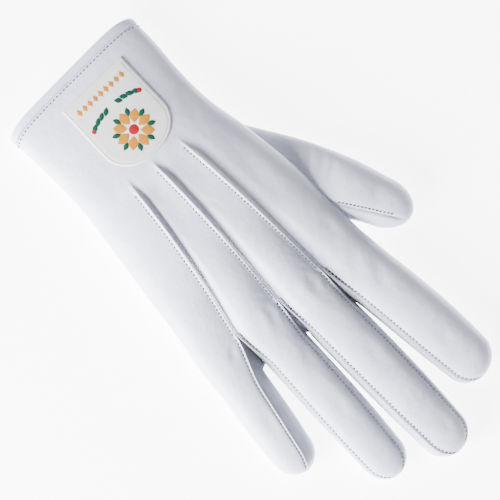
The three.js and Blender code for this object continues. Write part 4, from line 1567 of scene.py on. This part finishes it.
def distance_to(places, marks, limit):
    """How far each place lies from the nearest of the marks, in mm, looked for up to a limit."""
    away = np.full(len(places), FAR)
    targets = in_frame(marks)
    for start in range(0, len(places), BLOCK):
        block = places[start : start + BLOCK]
        low, high = block.min(0) - limit * MM, block.max(0) + limit * MM
        near = targets[np.all((targets > low) & (targets < high), axis=1)]
        if len(near):
            squares = ((block[:, None, :] - near[None, :, :]) ** 2).sum(axis=2).min(axis=1)
            away[start : start + BLOCK] = np.sqrt(squares) / MM
    return away


def vectors(piece, key):
    """The places or the normals of all the points of a mesh."""
    values = np.empty(len(piece.data.vertices) * 3)
    piece.data.vertices.foreach_get(key, values)
    return values.reshape(-1, 3)


# Writes the seam attribute. Near the marks it is dirt on the back, hem and thumb, and painted shade
# at the forks of the fourchettes; slot_light, edge and lit_fade add painted shade low in the slots,
# under the seams' edges and on walls that the next finger shades.
def mark_dirt_and_painted_shade(piece, marks, reach, slot_light=0.0, edge=(), lit_fade=0.0):
    places = vectors(piece, "co")
    away = distance_to(places, marks, FORK_FADE + lit_fade)
    darkening = np.exp(-((away / reach) ** 2))
    # a painted shadow line under the seam's edge
    if len(edge):
        under_edge = distance_to(places, edge, 4 * EDGE_REACH)
        darkening = np.maximum(darkening, EDGE_PAINTED_SHADE * np.exp(-((under_edge / EDGE_REACH) ** 2)))
    # painted shade low in the slot, reaching further from the fork on walls that face +X, which the
    # next finger shades
    if slot_light:
        heights = (places[:, 2] - cad_box[0].z) / MM
        facing = np.clip(2 * vectors(piece, "normal")[:, 0], 0, 1) * bool(lit_fade)
        depths = np.clip(1 - heights / slot_light, 0, 1) ** (DEEP_POWER - LIT_POWER * facing)
        fade = FORK_FADE + lit_fade * facing
        darkening = np.maximum(darkening, depths * np.clip(1 - away / fade, 0, 1))
    piece.data.attributes.new("seam", "FLOAT", "POINT").data.foreach_set("value", darkening)


def marks_along(paths, step):
    return np.array([here for path in paths for here, _, _ in even_steps(path, step)])


soil_marks = marks_along(seam_paths() + rib_paths(), SOIL_STEP)
thumb_line = [(np.array([x, y, thumb_height(x, y)]), UPWARD) for x, y in THUMB_SEAM]
for piece in [hand, hem]:
    mark_dirt_and_painted_shade(piece, soil_marks, SOIL_REACH)
# The fourchettes: painted shade at the fork, low in the slot and under the edges of both fingers.
for number, curve in fork_curves.items():
    both = (finger_rows[number], 0), (finger_rows[number - 1], BACK_COLUMNS)
    edges = [[(all_points[row[i]], UPWARD) for row in rows[:-2]] for rows, i in both]
    edge = marks_along(edges, EDGE_STEP)
    piece = fourchettes[fourchette_name(number)]
    mark_dirt_and_painted_shade(piece, all_points[curve], WEB_REACH, SLOT_LIGHT, edge, LIT_FADE[number])
mark_dirt_and_painted_shade(thumb, marks_along([thumb_line], THUMB_SOIL_STEP), THUMB_SOIL_REACH)

# %% [markdown]
# ## Dressing the pieces
# Each piece gets its finish, the body that it rides on and the CAD node that it stands for.

# %% Finishes, bodies and nodes
SMOOTH_ANGLE = math.radians(42)


def dress(piece, material, node=None):
    piece.data.materials.clear()
    piece.data.materials.append(material)
    select_only(piece)
    bpy.ops.object.shade_smooth_by_angle(angle=SMOOTH_ANGLE)
    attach(piece, "root")
    if node:
        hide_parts(node)


dress(hand, white_leather, "hand_shell")
dress(thumb, white_leather, "thumb")
dress(hem, white_leather, "cuff_hem")
dress(patch, patch_cloth, "badge_patch")
for node, piece in fourchettes.items():
    dress(piece, fourchette_leather, node)
for colour, piece in ornament.items():
    dress(piece, thread_finishes[colour])
for piece in stitches:
    dress(piece, pale_thread if piece is patch_stitches else seam_thread)

# %% [markdown]
# ## Floor, light and camera
# The floor is plain, nearly white and softly glowing, so that the ground is as bright as that of a
# cut-out picture. A large soft light comes from the little finger's side and a
# weaker one fills in from the thumb's, so that the ribs and folds shade towards the thumb. The
# camera looks straight down, turned so that the cuff lies at the top left.

# %% The stage
FLOOR_SIZE = 4.0
FLOOR_GLOW = 6.0
FLOOR_MOTTLE_SIZE = 60.0
FLOOR_TONES = ((0.93, 0.93, 0.94, 1.0), (0.95, 0.95, 0.955, 1.0))
FLOOR_DROP = 0.02  # under the glove, so that their faces don't coincide
VIEW_MIDDLE = (3.21, -8.19)  # of the picture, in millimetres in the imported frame
VIEW_WIDTH = 232.75
VIEW_LEVEL = 11.0  # the height at which the glove is VIEW_WIDTH wide across the picture
CAMERA_LENS = 180.0
CAMERA_TURN = 46.163  # degrees, how the picture is turned round the vertical
SENSOR = 36.0

floor_level = cad_box[0].z - FLOOR_DROP * MM
bpy.ops.mesh.primitive_plane_add(size=FLOOR_SIZE, location=(0.0, 0.0, floor_level))
floor = bpy.context.object
floor.name = "floor"
floor_paint = Paint("floor")
mottle = floor_paint.noise(floor_paint.place(), FLOOR_MOTTLE_SIZE)
floor_paint.set(
    emission_color=(1.0, 1.0, 1.0, 1.0),
    emission_strength=FLOOR_GLOW,
    base_color=floor_paint.blend(mottle, *FLOOR_TONES),
    roughness=0.85,
    specular_ior_level=0.1,
)
floor.data.materials.append(floor_paint.material)

LIGHTS = named_rows(
    "name place size power",
    ("key", (0.98, -0.12, 0.42), 0.65, 88.0),
    ("fill", (-0.8, 0.6, 1.1), 1.2, 1.0),
    ("top", (0.2, -0.2, 1.6), 1.2, 3.0),
)
WORLD_COLOUR = (0.94, 0.95, 1.0, 1.0)
WORLD_STRENGTH = 0.31
for row in LIGHTS:
    bpy.ops.object.light_add(type="AREA", location=row["place"])
    lamp = bpy.context.object
    lamp.name = row["name"]
    lamp.data.size = row["size"]
    lamp.data.energy = row["power"]
    x, y, z = row["place"]
    turn = math.atan2(-y, -x) - math.pi / 2
    lamp.rotation_euler = (math.atan2(math.hypot(x, y), z), 0.0, turn)

world = bpy.data.worlds.new("studio")
world.use_nodes = True
background = world.node_tree.nodes["Background"]
background.inputs["Color"].default_value = WORLD_COLOUR
background.inputs["Strength"].default_value = WORLD_STRENGTH
bpy.context.scene.world = world

# %% The camera
distance = CAMERA_LENS / SENSOR * VIEW_WIDTH * MM
place = (VIEW_MIDDLE[0] * MM, VIEW_MIDDLE[1] * MM, VIEW_LEVEL * MM + distance)
bpy.ops.object.camera_add(location=place)
camera = bpy.context.object
camera.data.lens = CAMERA_LENS
camera.data.sensor_width = SENSOR
camera.rotation_euler = (0.0, 0.0, math.radians(180 - CAMERA_TURN))
bpy.context.scene.camera = camera
print("camera", [round(value, 3) for value in place])
